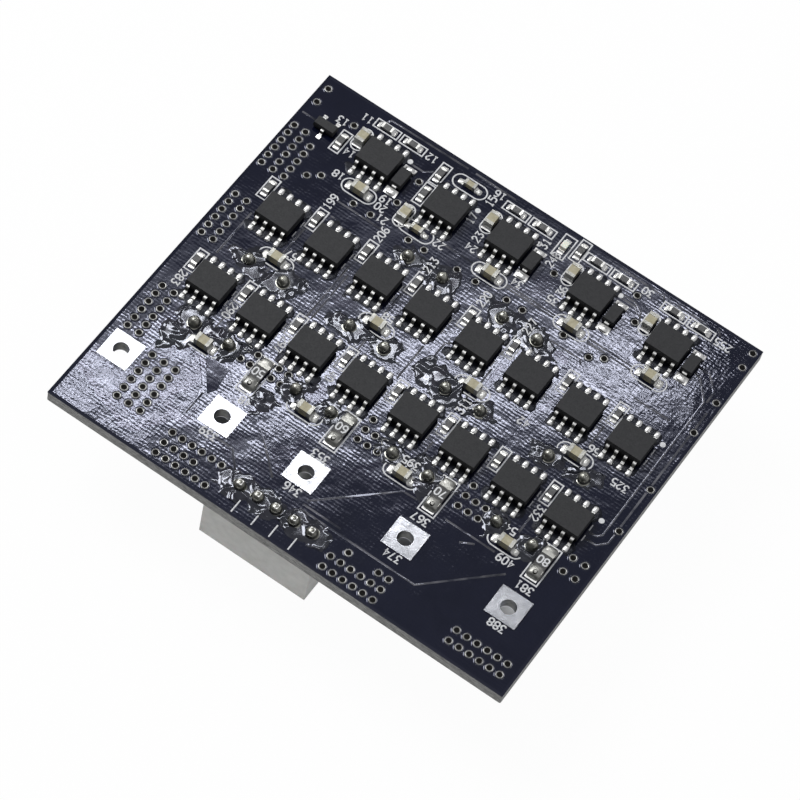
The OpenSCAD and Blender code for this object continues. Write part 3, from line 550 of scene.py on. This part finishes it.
FIELD_SLOPE = 0.06
POUR_HEIGHT = 0.02
POURS = [
    [(-31.6, -21.3), (-31.6, -28.6), (-18.7, -28.6), (-18.7, -23.4), (-18, -22.2), (-18, -18.6),
     (-18.7, -16.6), (-20.7, -14.2), (-23.6, -13.6), (-26.2, -15.7), (-26.3, -21.3)],
    [(-17.7, -18.6), (-17.0, -19.3), (-17.0, -22.2), (-17.7, -22.2)],
    [(-11.3, -14.7), (-4.7, -14.7), (-4.7, -21.4), (-11.3, -16.3)],
    [(15.2, 21.8), (19.4, 21.8), (19.4, 17.6), (15.2, 17.6)],
    [(15.8, 27.1), (18.2, 27.1), (18.2, 25.4), (15.8, 25.4)],
    [(15.8, 16.3), (22.3, 16.3), (22.3, 12.3), (17.3, 12.3), (15.8, 13.4)],
    [(23.1, 19.1), (29.6, 18.1), (29.6, 13.9), (23.1, 13.9)],
    [(23.1, 13.4), (28.2, 13.4), (28.2, 11.8), (23.1, 11.8)],
    [(10.7, 13.8), (14.7, 13.8), (15.1, 13.1), (15.1, 11.8), (10.7, 11.8)],
    [(4.4, 23.7), (7.1, 23.7), (7.1, 17.8), (4.9, 17.8)],
    [(-4.1, 15), (-0.9, 15), (-0.9, 12.1), (-3.6, 12.1)],
    [(-6.9, 8.2), (-5.7, 8.2), (-5.7, -1.7), (-6.5, -1.7), (-6.9, 3.9)],
    [(7.5, 9.2), (8.8, 9.2), (8.8, 3.6), (7.8, 3.6)],
    [(14.2, 9.7), (16.0, 9.7), (16.0, 3.9), (15.2, -1.7), (14.2, -1.7)],
    [(-8, -8.2), (-6.4, -8.2), (-6.4, -11.1), (-8, -11.1)],
    [(-16.7, 2.9), (-14.6, 2.9), (-14.6, -1.4), (-16.7, -1.4)],
    [(16.9, 3.7), (20.2, 3.7), (20.2, 1.9), (16.9, 1.9)],
]
pours = Mesh("pours")
for outline in POURS:
    pours.slab(outline, TOP, TOP + POUR_HEIGHT, FIELD_SLOPE)
pours.finish(POUR, "masked_copper")

# Mask that leans off the edge of a copper field and so lies out of the glare
BARE_HEIGHT, BARE_FALL = 0.004, 0.03
BARE_FIELD = [(-20.5, -13.3), (-17.1, -13.3), (-16.7, -16.5), (-17.3, -17.6), (-18.5, -16)]
bare = Mesh("bare_fields")
bare.slab(BARE_FIELD, TOP, TOP + BARE_HEIGHT, FIELD_SLOPE, BARE_FALL)
bare.finish(TRACK, "solder_mask")

# The rim of mask round the board, which slopes down inwards
RIM_WIDTH, RIM_HEIGHT = 0.40, 0.08
rim = Mesh("mask_rim")
rim_rings = []
for inset, height in ((0.0, 0.0), (0.01, RIM_HEIGHT), (RIM_WIDTH, 0.001)):
    w, d, z = HALF_W - inset, HALF_D - inset, TOP + height
    rim_rings.append([(-w, -d, z), (w, -d, z), (w, d, z), (-w, d, z)])
rim.face_ring(*rim_rings)
rim.finish(TRACK, "solder_mask")


# White legend

INK_HEIGHT = 0.05
# Widths of the lines of frames, of the ticks at the chips and of those at the header
LINE, TICK_LINE, HEADER_LINE = 0.20, 0.15, 0.2
# Steps in a quarter turn, and how near two points may be before one is dropped
CORNER_STEPS, NEAR = 6, 0.02
# Chip capacitors longer than this are the large ones.
LARGE_BODY = 1.5
# Frame sizes: width and depth
RESISTOR_FRAME = (3.45, 1.33)
LIGHT_FRAME = (1.65, 3.6)
SHUNT_FRAME, SHUNT_FRAME_SHIFT = (2.2, 5.6), -0.1
# By whether a capacitor lies along X and whether it is a large one
CAPACITOR_FRAMES = {
    (True, True): (4.75, 2.1), (True, False): (3.55, 1.65),
    (False, True): (1.75, 3.6), (False, False): (1.55, 3.45),
}
legend = Mesh("legend")


def print_line(path, width, closed=False):
    legend.ribbon(path, width, TOP, TOP + INK_HEIGHT, closed)


def legend_box(x, y, width, depth):
    w, d = width / 2, depth / 2
    print_line([(x - w, y - d), (x + w, y - d), (x + w, y + d), (x - w, y + d)], LINE, True)


def legend_stadium(x, y, width, depth):
    """A box with fully rounded short sides."""
    w, d = width / 2, depth / 2
    r = min(w, d)
    path = []
    for cx, cy, turn in ((x + w - r, y + d - r, 0), (x - w + r, y + d - r, 90),
                         (x - w + r, y - d + r, 180), (x + w - r, y - d + r, 270)):
        for step in range(CORNER_STEPS + 1):
            angle = math.radians(turn + 90 * step / CORNER_STEPS)
            path.append((cx + r * math.cos(angle), cy + r * math.sin(angle)))
    thinned = [p for i, p in enumerate(path) if math.dist(p, path[i - 1]) > NEAR]
    print_line(thinned, LINE, True)


for box in islands("chip_resistors"):
    wide, deep = extent(box)
    size = RESISTOR_FRAME if wide > deep else RESISTOR_FRAME[::-1]
    legend_box(*middle(box), *size)
for box in islands("chip_capacitors"):
    wide, deep = extent(box)
    legend_stadium(*middle(box), *CAPACITOR_FRAMES[wide > deep, max(wide, deep) > LARGE_BODY])
for i in range(1, 5):
    x, y = middle(node_box(f"shunt_{i}"))
    legend_box(x, y + SHUNT_FRAME_SHIFT, *SHUNT_FRAME)
legend_box(*middle(node_box("chip_light")), *LIGHT_FRAME)

# Two ticks right of each switch chip
TICK_GAP, TICK_HALF, TICK_PLACES = 0.3, 0.45, (0.95, -0.75)
for i in range(1, 17):
    box = node_box(f"switch_{i}")
    x = box[1].x + TICK_GAP
    for offset in TICK_PLACES:
        y = middle(box)[1] + offset
        print_line([(x, y - TICK_HALF), (x, y + TICK_HALF)], TICK_LINE)

# Ticks between the header's joints: places along X, front end and rear end
HEADER_TICKS, TICK_FRONT, TICK_REAR = (-6, -3.2, -0.7, 2), -28.6, -26.7
for x in HEADER_TICKS:
    print_line([(x, TICK_FRONT), (x, TICK_REAR)], HEADER_LINE)

# Dots beside the first lead of chips
DOT_RADIUS, DOT_SLOPE, DOT_SIDES = 0.38, 0.03, 20
DOTS = ((-16.9, 24.7), (-6.4, 24.0), (2.1, 24.7), (14.0, 24.8), (29.1, 10.4), (28.8, -2.8))
for x, y in DOTS:
    legend.slab(circle(x, y, DOT_RADIUS, DOT_SIDES), TOP, TOP + INK_HEIGHT, DOT_SLOPE)

# Strokes of plain digits in a box 1 wide and 2 high
DIGITS = {
    "0": [[(0.3, 0), (0.7, 0), (1, 0.4), (1, 1.6), (0.7, 2), (0.3, 2), (0, 1.6), (0, 0.4), (0.3, 0)]],
    "1": [[(0.2, 1.6), (0.55, 2), (0.55, 0)], [(0.2, 0), (0.9, 0)]],
    "2": [[(0, 1.6), (0.3, 2), (0.7, 2), (1, 1.6), (1, 1.3), (0, 0), (1, 0)]],
    "3": [[(0, 2), (1, 2), (0.5, 1.2), (1, 0.8), (1, 0.3), (0.7, 0), (0.3, 0), (0, 0.3)]],
    "4": [[(0.75, 0), (0.75, 2), (0, 0.7), (1, 0.7)]],
    "5": [[(1, 2), (0, 2), (0, 1.2), (0.7, 1.2), (1, 0.9), (1, 0.3), (0.7, 0), (0, 0)]],
    "6": [[(0.9, 2), (0.4, 2), (0, 1.4), (0, 0.3), (0.3, 0), (0.7, 0), (1, 0.3), (1, 0.8), (0.7, 1.1),
           (0, 1.1)]],
    "7": [[(0, 2), (1, 2), (0.4, 0)]],
    "8": [[(0.3, 1.1), (0, 1.4), (0, 1.7), (0.3, 2), (0.7, 2), (1, 1.7), (1, 1.4), (0.7, 1.1), (0.3, 1.1),
           (0, 0.8), (0, 0.3), (0.3, 0), (0.7, 0), (1, 0.3), (1, 0.8), (0.7, 1.1)]],
    "9": [[(0.1, 0), (0.6, 0), (1, 0.6), (1, 1.7), (0.7, 2), (0.3, 2), (0, 1.7), (0, 1.2), (0.3, 0.9),
           (1, 0.9)]],
}
DIGIT_HEIGHT, DIGIT_WIDTH, DIGIT_STEP, STROKE = 1.0, 0.54, 0.80, 0.21


def number(text, x, y, turn, low, high):
    """Plain digits centred at x, y and turned about their middle."""
    c, s = math.cos(math.radians(turn)), math.sin(math.radians(turn))
    start = -((len(text) - 1) * DIGIT_STEP + DIGIT_WIDTH) / 2
    for place, digit in enumerate(text):
        left = start + place * DIGIT_STEP
        for stroke in DIGITS[digit]:
            flat = [(left + u * DIGIT_WIDTH, (v / 2 - 0.5) * DIGIT_HEIGHT) for u, v in stroke]
            turned = [(x + c * u - s * v, y + s * u + c * v) for u, v in flat]
            legend.ribbon(turned, STROKE, low, high)


# Via lands: a bore painted black as shade, a tinned dish round it and the mask's collar round both

CORE, BORE_SIDES, VIA_SIDES = 0.34, 16, 20
bores, dishes, collars = Mesh("via_bores"), Mesh("via_dishes"), Mesh("via_collars")
for box in islands("via_lands"):
    x, y = middle(box)
    edge = extent(box)[0] / 2
    bore = [(CORE + 0.03, 0.058), (0.22, 0.053), (0.15, 0.047), (0.07, 0.043)]
    dish = [(edge + 0.04, 0.0), (edge + 0.02, 0.045), (edge - 0.04, 0.075), (CORE + 0.05, 0.072),
            (CORE, 0.05)]
    collar = [(edge + 0.2, 0.0), (edge + 0.12, 0.028), (edge + 0.05, 0.034), (edge + 0.01, 0.0)]
    bores.turned(x, y, bore, BORE_SIDES, lid=True)
    dishes.turned(x, y, dish, VIA_SIDES)
    collars.turned(x, y, collar, VIA_SIDES)
bores.finish(PAINTED_SHADE_BLACK, "solder_mask", smooth=True)
dishes.finish(RING, "tinned_pad", smooth=True)
collars.finish(TRACK, "solder_mask", smooth=True)


# Solder

# On the lands at both ends of the chip capacitors and resistors: how far it reaches and how high it is
HEAPED_LAND, THIN_LAND, RESISTOR_LAND = (0.95, 0.15), (0.3, 0.05), (0.6, 0.07)
LAND_WIDTH = 1.15
spread = Mesh("land_solder")
for node_name in ("chip_capacitors", "chip_resistors"):
    for box in islands(node_name):
        x, y = middle(box)
        wide, deep = extent(box)
        along, across = max(wide, deep), min(wide, deep)
        if node_name == "chip_resistors":
            reach, height = RESISTOR_LAND
        elif wide > deep and along > LARGE_BODY:
            reach, height = HEAPED_LAND
        else:
            reach, height = THIN_LAND
        for side in (-1, 1):
            step = side * (along + reach) / 2
            if wide > deep:
                spread.mound(x + step, y, reach, across * LAND_WIDTH, height)
            else:
                spread.mound(x, y + step, across * LAND_WIDTH, reach, height)
spread.finish(PLATED, "solder", smooth=True)

# At the shunts: a dome with a pit, painted black as shade, over each front end, a low heap behind each rear
# end.
# At the diodes: a heap at the end of each lead. Sizes are width, depth and height.
SHUNT_DOME, SHUNT_HEAP, DIODE_HEAP = (1.9, 1.9, 0.80), (1.8, 1.3, 0.5), (1.3, 1.0, 0.34)
PIT, PIT_SIDES = [(0.34, 0.5), (0.29, 0.815), (0.2, 0.79), (0.08, 0.76)], 14
# How far dome, heap and pit lie behind the end that they belong to, and the pit to the right
DOME_SHIFT, HEAP_SHIFT, PIT_SHIFT, PIT_ASIDE = 0.1, 0.35, -0.2, 0.05
DIODES = [node_box(f"diode_{i}") for i in range(1, 5)]
domes, pits, heaps = Mesh("shunt_domes"), Mesh("solder_pits"), Mesh("end_solder")
for i in range(1, 5):
    box = node_box(f"shunt_{i}")
    x = middle(box)[0]
    front, rear = box[0].y, box[1].y
    domes.mound(x, front + DOME_SHIFT, *SHUNT_DOME)
    domes.mound(x, rear + HEAP_SHIFT, *SHUNT_HEAP)
    pits.turned(x + PIT_ASIDE, front + PIT_SHIFT, PIT, PIT_SIDES, lid=True)
for box in islands("diode_leads"):
    x, y = middle(box)
    body = min(DIODES, key=lambda diode: math.dist(middle(diode), (x, y)))
    front = box[0].y < body[0].y
    heaps.mound(x, box[0].y if front else box[1].y, *DIODE_HEAP)
domes.finish(CAP_END, "solder", smooth=True)
pits.finish(PAINTED_SHADE_BLACK, "solder", smooth=True)
heaps.finish(SOLDER, "solder", smooth=True)

# Closed over the ends of the leads and pins
TIP_RISE, DOME_SIDES = 0.3, 20
closed_joints = Mesh("joint_domes")
for box in islands("solder_joints"):
    x, y = middle(box)
    size = 1.0 + 0.08 * noise.noise(Vector((x, y, 21.0)))
    tip = box[1].z - TOP + TIP_RISE
    dome = [(0.80, 0.1), (0.79 * size, 0.28 * tip), (0.72 * size, 0.53 * tip), (0.57 * size, 0.78 * tip),
            (0.36, 0.93 * tip), (0.13, tip)]
    closed_joints.turned(x, y, dome, DOME_SIDES, lid=True)
closed_joints.finish(DULL, "solder", smooth=True)

# Over the feet of the chips' leads: how far it reaches in and out from the end of a foot, width, height
FOOT_IN, FOOT_OUT, FOOT_WIDTH, FOOT_HEIGHT = 0.30, 0.76, 0.72, 0.30
FOOT_SIDES = 16
CHIPS = [node_box(name) for name in NODES
         if name.startswith(("switch_", "driver_", "clock_")) and not name.endswith("leads")]
feet = Mesh("foot_solder")
for name in ("switch_leads", "driver_leads"):
    for box in islands(name):
        x, y = middle(box)
        chip = min(CHIPS, key=lambda body: math.dist(middle(body), (x, y)))
        front = y < middle(chip)[1]
        end = box[0].y if front else box[1].y
        shift = (FOOT_OUT - FOOT_IN) / 2 * (-1 if front else 1)
        feet.mound(x, end + shift, FOOT_WIDTH, FOOT_IN + FOOT_OUT, FOOT_HEIGHT, FOOT_SIDES)
feet.finish(SOLDER, "solder", smooth=True)


# Dried flux

GRID = 0.1
JOINTS = [middle(box) for box in islands("solder_joints")]
# Places that flux has run to from elsewhere
FLUX_RUNS = [(-11.2, -14.3), (-25.2, -13.4), (2.2, 1.4)]
# How far flux spreads from a joint and from a row of leads
SPREAD, ROW_SPREAD = 2.7, 0.95
# A row of leads begins and ends this far inside its chip's sides, and lies this far from its middle.
ROW_INSET, ROW_OFFSET = 0.6, 2.8
# Round a joint, distances along X count for this much, so the flux runs further that way.
JOINT_SQUEEZE = 0.8
# Sources are kept by columns of the board, BUCKET wide. Flux of a joint or a row reaches no further.
BUCKET, JOINT_REACH, ROW_REACH = 4.0, 5, 2
# Heights of the films, and how steeply they rise from the rim
FILM_LOW, JOINT_FILM, ROW_FILM, RISE_RATE = 0.003, 0.065, 0.055, 4
# Height of the swells; height, width and blotches a millimetre of the curls
SWELL, CURL, CURL_WIDTH, CURL_SCALE = 0.012, 0.13, 0.10, 0.34
# Scraps of film with fewer faces are dropped.
SCRAP = 40


def flux_sources():
    """Joints and rows of leads that flux has run from, by the columns of the board that they reach."""
    columns = {}
    for x, y in JOINTS + FLUX_RUNS:
        reach = SPREAD * (0.75 + 0.35 * noise.noise(Vector((x * 0.37, y * 0.37, 11.0))))
        for column in range(int((x - JOINT_REACH) // BUCKET), int((x + JOINT_REACH) // BUCKET) + 1):
            columns.setdefault(column, []).append((x, x, y, JOINT_SQUEEZE, reach, 0))
    for box in CHIPS:
        x0, x1 = box[0].x + ROW_INSET, box[1].x - ROW_INSET
        for y in (middle(box)[1] - ROW_OFFSET, middle(box)[1] + ROW_OFFSET):
            for column in range(int((x0 - ROW_REACH) // BUCKET), int((x1 + ROW_REACH) // BUCKET) + 1):
                columns.setdefault(column, []).append((x0, x1, y, 1.0, ROW_SPREAD, 1))
    return columns


SOURCES = flux_sources()


def film(x, y):
    """How deep a point lies in the flux of a joint and of a row of leads: 1 at the source, 0 at the rim."""
    depths = [0.0, 0.0]
    bend = None
    for x0, x1, sy, squeeze, reach, kind in SOURCES.get(int(x // BUCKET), ()):
        if abs(y - sy) < 2 * reach:
            if bend is None:
                bend = 0.7 * noise.noise(Vector((x * 0.45, y * 0.45, 3.0)))
                bend += 0.3 * noise.noise(Vector((x * 1.3, y * 1.3, 7.0)))
            aside = max(x0 - x, 0.0, x - x1)
            depth = 1 - math.hypot(aside * squeeze, y - sy) / (reach * (1 + bend))
            depths[kind] = max(depths[kind], depth)
    return depths


def wrinkle(x, y):
    """Gentle swells, and raised curls along the zero lines of a bent noise."""
    swell = SWELL * noise.noise(Vector((x * 0.7, y * 0.7, 15.0)))
    bent = Vector((x * CURL_SCALE, y * CURL_SCALE * 1.2, 5.0))
    bent.x += 0.5 * noise.noise(bent * 1.7)
    bent.y += 0.5 * noise.noise(bent * 1.7 + Vector((4.0, 8.0, 2.0)))
    return swell + CURL * math.exp(-(noise.noise(bent) / CURL_WIDTH) ** 2)


def flux_patch(name, kind, x0, x1, y0, y1):
    """The film of the joints (kind 0) or of the rows of leads (kind 1) in a band of the board."""
    patch = Mesh(name)
    known = {}

    def point(i, j):
        if (i, j) not in known:
            x, y = x0 + i * GRID, y0 + j * GRID
            depth = film(x, y)[kind]
            if depth <= 0:
                known[i, j] = None
            else:
                known[i, j] = len(patch.points)
                body = ROW_FILM if kind else JOINT_FILM + wrinkle(x, y)
                patch.points.append((x, y, TOP + FILM_LOW + body * min(1.0, RISE_RATE * depth)))
        return known[i, j]

    for i in range(int((x1 - x0) / GRID)):
        for j in range(int((y1 - y0) / GRID)):
            corners = [point(i, j), point(i + 1, j), point(i + 1, j + 1), point(i, j + 1)]
            inside = [c for c in corners if c is not None]
            if len(inside) > 2:
                patch.faces.append(tuple(inside))
    root = linked(patch.faces)
    sizes = Counter(root(face[0]) for face in patch.faces)
    patch.faces = [face for face in patch.faces if sizes[root(face[0])] >= SCRAP]
    patch.finish(ROW_FLUX if kind else FLUX, "solder", smooth=True)


# The films end this far left and right of the board's middle, and each band along Y is one piece.
FLUX_EDGE = 30.5
JOINT_BANDS = ((9.4, 15.4), (-4.2, 6.6), (-18.2, -6.6), (-27.4, -23.2))
ROW_BANDS = ((23.2, 26.4), (17.6, 20.9), (9.2, 12.2), (3.2, 6.4), (-3.9, -0.8), (-9.8, -6.6))
for kind, name, bands in ((0, "joint_flux", JOINT_BANDS), (1, "row_flux", ROW_BANDS)):
    for band, (y_low, y_high) in enumerate(bands, 1):
        flux_patch(f"{name}_{band}", kind, -FLUX_EDGE, FLUX_EDGE, y_low, y_high)


# Plain numbers beside the parts, which show through the flux, and on the shunts

# Places: x, y, count of digits, turn in degrees
NUMBERS = [
    (-24.6, 26.6, 2, 180), (-15.1, 26.8, 2, 180), (-26.8, 24.4, 2, 180), (-23.5, 21, 2, 180),
    (-5.9, 26.2, 2, 90), (-5.5, 27.6, 2, 180), (-6.4, 22.6, 2, 90), (-22.7, 17.5, 2, 180),
    (-16.1, 18.1, 2, 180), (-16, 16.8, 2, 180), (-14.9, 15.5, 2, 180), (-7.4, 16.9, 2, 180),
    (-4.3, 20.8, 2, 90), (-4.1, 19, 2, 180), (-21.2, 13.7, 3, 90), (-13.7, 13.7, 3, 90),
    (-6.5, 13.7, 3, 90), (1.2, 13.9, 3, 90), (7.7, 14, 3, 90), (16.4, 27.3, 2, 180),
    (2.7, 25.2, 2, 90), (4.7, 23.9, 3, 90), (27.6, 26.7, 3, 180), (3.1, 18.3, 2, 180),
    (7.8, 19, 2, 180), (8, 20.8, 2, 90), (-29.2, -6.6, 3, -90), (-21.8, -6.6, 3, -90),
    (-14.3, -6.6, 3, -90), (-7.2, -6.5, 2, -90), (7.5, -0.2, 3, 90), (14.3, 2.6, 2, 180),
    (28, 2.5, 3, 180), (22.3, -6.6, 3, -90), (-14, -21.8, 3, 180), (-2.1, -21.8, 3, 180),
    (-2, -16.2, 3, 180), (-13.2, -15.7, 2, 180), (11.9, -15.8, 3, 180), (12, -21.8, 3, 180),
    (26.4, -15.8, 3, 180), (26.5, -21.8, 3, 180), (6.9, -10.4, 3, 180), (21, -10.4, 2, 180),
    (22.7, -14.2, 3, 180), (23, 4.6, 2, 180), (-20.5, 4.4, 2, 180), (-6.4, 4.4, 2, 180),
]
# Ink under flux shows through it, so there it is lifted over the film, which isn't clear.
INK_OVER_FLUX = 0.19
for count, (x, y, digits, turn) in enumerate(NUMBERS):
    ink_low = TOP + (INK_OVER_FLUX if max(film(x, y)) > 0 else 0.0)
    text = str(11 + count if digits == 2 else 101 + 7 * count)
    number(text, x, y, turn, ink_low, ink_low + INK_HEIGHT)
SHUNT_INK_LOW, SHUNT_INK_HIGH, SHUNT_INK_SHIFT = -0.005, 0.012, 0.15
for i in range(1, 5):
    box = node_box(f"shunt_{i}")
    x, y = middle(box)
    top = box[1].z
    number(f"{4 + i}0", x, y + SHUNT_INK_SHIFT, 180, top + SHUNT_INK_LOW, top + SHUNT_INK_HIGH)
legend.finish(INK, "solder_mask")


# Camera, fitted to the places of the parts in the photograph

AZIMUTH, ELEVATION, ROLL = (math.radians(angle) for angle in (21.54, 58.90, 14.61))
FOCAL_PIXELS, PICTURE_PIXELS, SENSOR_WIDTH = 3629.0, 800.0, 36.0
DISTANCE, SIDE_STEP, RISE = 429.5, 1.40, 3.33
BOARD_CENTRE = Vector((0, 0, TOP))

outward = math.cos(ELEVATION)
back = Vector((math.sin(AZIMUTH) * outward, -math.cos(AZIMUTH) * outward, math.sin(ELEVATION)))
level = Vector((math.cos(AZIMUTH), math.sin(AZIMUTH), 0))
right = math.cos(ROLL) * level + math.sin(ROLL) * back.cross(level)
up = back.cross(right)
eye = BOARD_CENTRE + DISTANCE * back - SIDE_STEP * right - RISE * up

camera_data = bpy.data.cameras.new("camera")
camera_data.sensor_width = SENSOR_WIDTH
camera_data.lens = FOCAL_PIXELS * SENSOR_WIDTH / PICTURE_PIXELS
camera_data.clip_start = 0.01
camera = bpy.data.objects.new("camera", camera_data)
camera.matrix_world = Matrix.Translation(eye * MM) @ Matrix((right, up, back)).transposed().to_4x4()
bpy.context.scene.collection.objects.link(camera)
bpy.context.scene.camera = camera
bpy.context.scene.view_settings.view_transform = "Standard"


# Floor, world and lamps

# Half the floor's side and its depth below the part, in metres, and its glow in the open
FLOOR_HALF, FLOOR_DROP, OPEN_GLOW = 2.5, 2e-5, 0.97
# How far from the board's middle, along each axis, the glow starts and is full; nearer the middle the glow
# is taken away as painted shade
GLOW_STARTS = {"X": (HALF_W - 6, HALF_W - 2), "Y": (HALF_D - 12, HALF_D - 6)}


def seen_rays(tree):
    """1 for rays from the camera, from gloss and through glass, 0 for the rest."""
    path = tree.nodes.new("ShaderNodeLightPath")
    total = path.outputs["Is Camera Ray"]
    for ray in ("Is Glossy Ray", "Is Transmission Ray"):
        total = math_node(tree, "MAXIMUM", total, path.outputs[ray])
    return total


def open_floor(tree):
    """The floor's share of glow: full in the open, fading to none in a box deep under the board. This fade
    is painted shade, which uncovers the lit floor and its real shadow.
    """
    place = tree.nodes.new("ShaderNodeTexCoord").outputs["Object"]
    parts = tree.nodes.new("ShaderNodeSeparateXYZ")
    tree.links.new(place, parts.inputs[0])
    shares = []
    for axis, (start, full) in GLOW_STARTS.items():
        fade = tree.nodes.new("ShaderNodeMapRange")
        limits = {"From Min": start * MM, "From Max": full * MM, "To Min": 0.0, "To Max": OPEN_GLOW}
        for socket, value in limits.items():
            fade.inputs[socket].default_value = value
        tree.links.new(math_node(tree, "ABSOLUTE", parts.outputs[axis]), fade.inputs["Value"])
        shares.append(fade.outputs[0])
    return math_node(tree, "MAXIMUM", *shares)


def make_floor():
    data = bpy.data.meshes.new("floor")
    corners = ((-1, -1), (1, -1), (1, 1), (-1, 1))
    points = [(x * FLOOR_HALF, y * FLOOR_HALF, -FLOOR_DROP) for x, y in corners]
    data.from_pydata(points, [], [(0, 1, 2, 3)])
    material = bpy.data.materials.new("floor")
    material.use_nodes = True
    tree = material.node_tree
    diffuse = tree.nodes["Principled BSDF"]
    diffuse.inputs["Base Color"].default_value = (0.80, 0.80, 0.80, 1)
    diffuse.inputs["Roughness"].default_value = 0.9
    glow = tree.nodes.new("ShaderNodeEmission")
    glow.inputs["Strength"].default_value = 1.0
    share = math_node(tree, "MULTIPLY", seen_rays(tree), open_floor(tree))
    blend = tree.nodes.new("ShaderNodeMixShader")
    for socket, value in zip(blend.inputs, (share, diffuse.outputs[0], glow.outputs[0])):
        tree.links.new(value, socket)
    tree.links.new(blend.outputs[0], tree.nodes["Material Output"].inputs["Surface"])
    data.materials.append(material)
    floor = bpy.data.objects.new("floor", data)
    bpy.context.scene.collection.objects.link(floor)


# From low in front to high behind: place along WORLD_LEAN and brightness
WORLD_LEAN = (0.0, 0.4, 0.175)
WORLD_STOPS = ((0.10, 0.04), (0.34, 0.12), (0.50, 0.42), (0.675, 0.54), (0.815, 0.46), (0.845, 0.33),
               (0.88, 0.33), (0.94, 0.70))
WORLD_BLUE = 1.03


def make_world():
    """Pale behind and at the sides, dim in front; white where the camera looks past the floor."""
    world = bpy.data.worlds.new("studio")
    world.use_nodes = True
    tree = world.node_tree
    direction = tree.nodes.new("ShaderNodeTexCoord")
    lean = tree.nodes.new("ShaderNodeVectorMath")
    lean.operation = "DOT_PRODUCT"
    lean.inputs[1].default_value = WORLD_LEAN
    tree.links.new(direction.outputs["Generated"], lean.inputs[0])
    factor = math_node(tree, "ADD", lean.outputs["Value"], 0.5)
    sky = ramp_node(tree, factor, [(place, (v, v, v * WORLD_BLUE)) for place, v in WORLD_STOPS])
    path = tree.nodes.new("ShaderNodeLightPath")
    mix = tree.nodes.new("ShaderNodeMixRGB")
    mix.inputs[2].default_value = (1, 1, 1, 1)
    tree.links.new(path.outputs["Is Camera Ray"], mix.inputs[0])
    tree.links.new(sky, mix.inputs[1])
    tree.links.new(mix.outputs[0], tree.nodes["Background"].inputs["Color"])
    bpy.context.scene.world = world


def softbox(name, place, across, size, watts):
    """A rectangular lamp at place that faces the board's centre, its first side along across."""
    data = bpy.data.lights.new(name, "AREA")
    data.shape = "RECTANGLE"
    data.size, data.size_y = size[0] * MM, size[1] * MM
    data.energy = watts
    lamp = bpy.data.objects.new(name, data)
    z_axis = (place - BOARD_CENTRE).normalized()
    x_axis = (across - across.dot(z_axis) * z_axis).normalized()
    turn = Matrix((x_axis, z_axis.cross(x_axis), z_axis)).transposed().to_4x4()
    lamp.matrix_world = Matrix.Translation(place * MM) @ turn
    bpy.context.scene.collection.objects.link(lamp)


def mirrored(spot, height):
    """The place of a lamp, that high above the board, whose gloss reaches the camera from a spot."""
    rise = eye.z - TOP
    image = Vector((eye.x, eye.y, TOP - rise))
    return image + (Vector((spot.x, spot.y, TOP)) - image) * (rise + height) / rise


make_floor()
make_world()
KEY_PLACE, KEY_SIZE, KEY_WATTS = Vector((-420, 70, 570)), (300, 300), 3.6
softbox("key", KEY_PLACE, Vector((0, 1, 0)), KEY_SIZE, KEY_WATTS)

# Nested strips whose gloss crosses the board from the front left to the rear right
GLARE_HEIGHT = 500.0
GLARE_FROM, GLARE_TO = Vector((-37, -33)), Vector((25.5, 20.7))
REARWARD = Vector((GLARE_FROM.y - GLARE_TO.y, GLARE_TO.x - GLARE_FROM.x)).normalized()
# Name, first and last share of the crossing, shift to the rear, width, watts
GLARE_LAMPS = (
    ("strip_left", 0.0, 0.5, 0.6, 8, 0.094),
    ("strip_right", 0.5, 1.0, 0.6, 8, 0.081),
    ("glow", 0.0, 1.0, 1.5, 42, 0.0455),
    ("haze", 0.0, 1.0, 4.0, 70, 0.0375),
)
for name, first, last, shift, width, watts in GLARE_LAMPS:
    spots = (GLARE_FROM.lerp(GLARE_TO, share) + shift * REARWARD for share in (first, last))
    start, end = (mirrored(spot, GLARE_HEIGHT) for spot in spots)
    softbox(name, (start + end) / 2, end - start, ((end - start).length, width), watts)
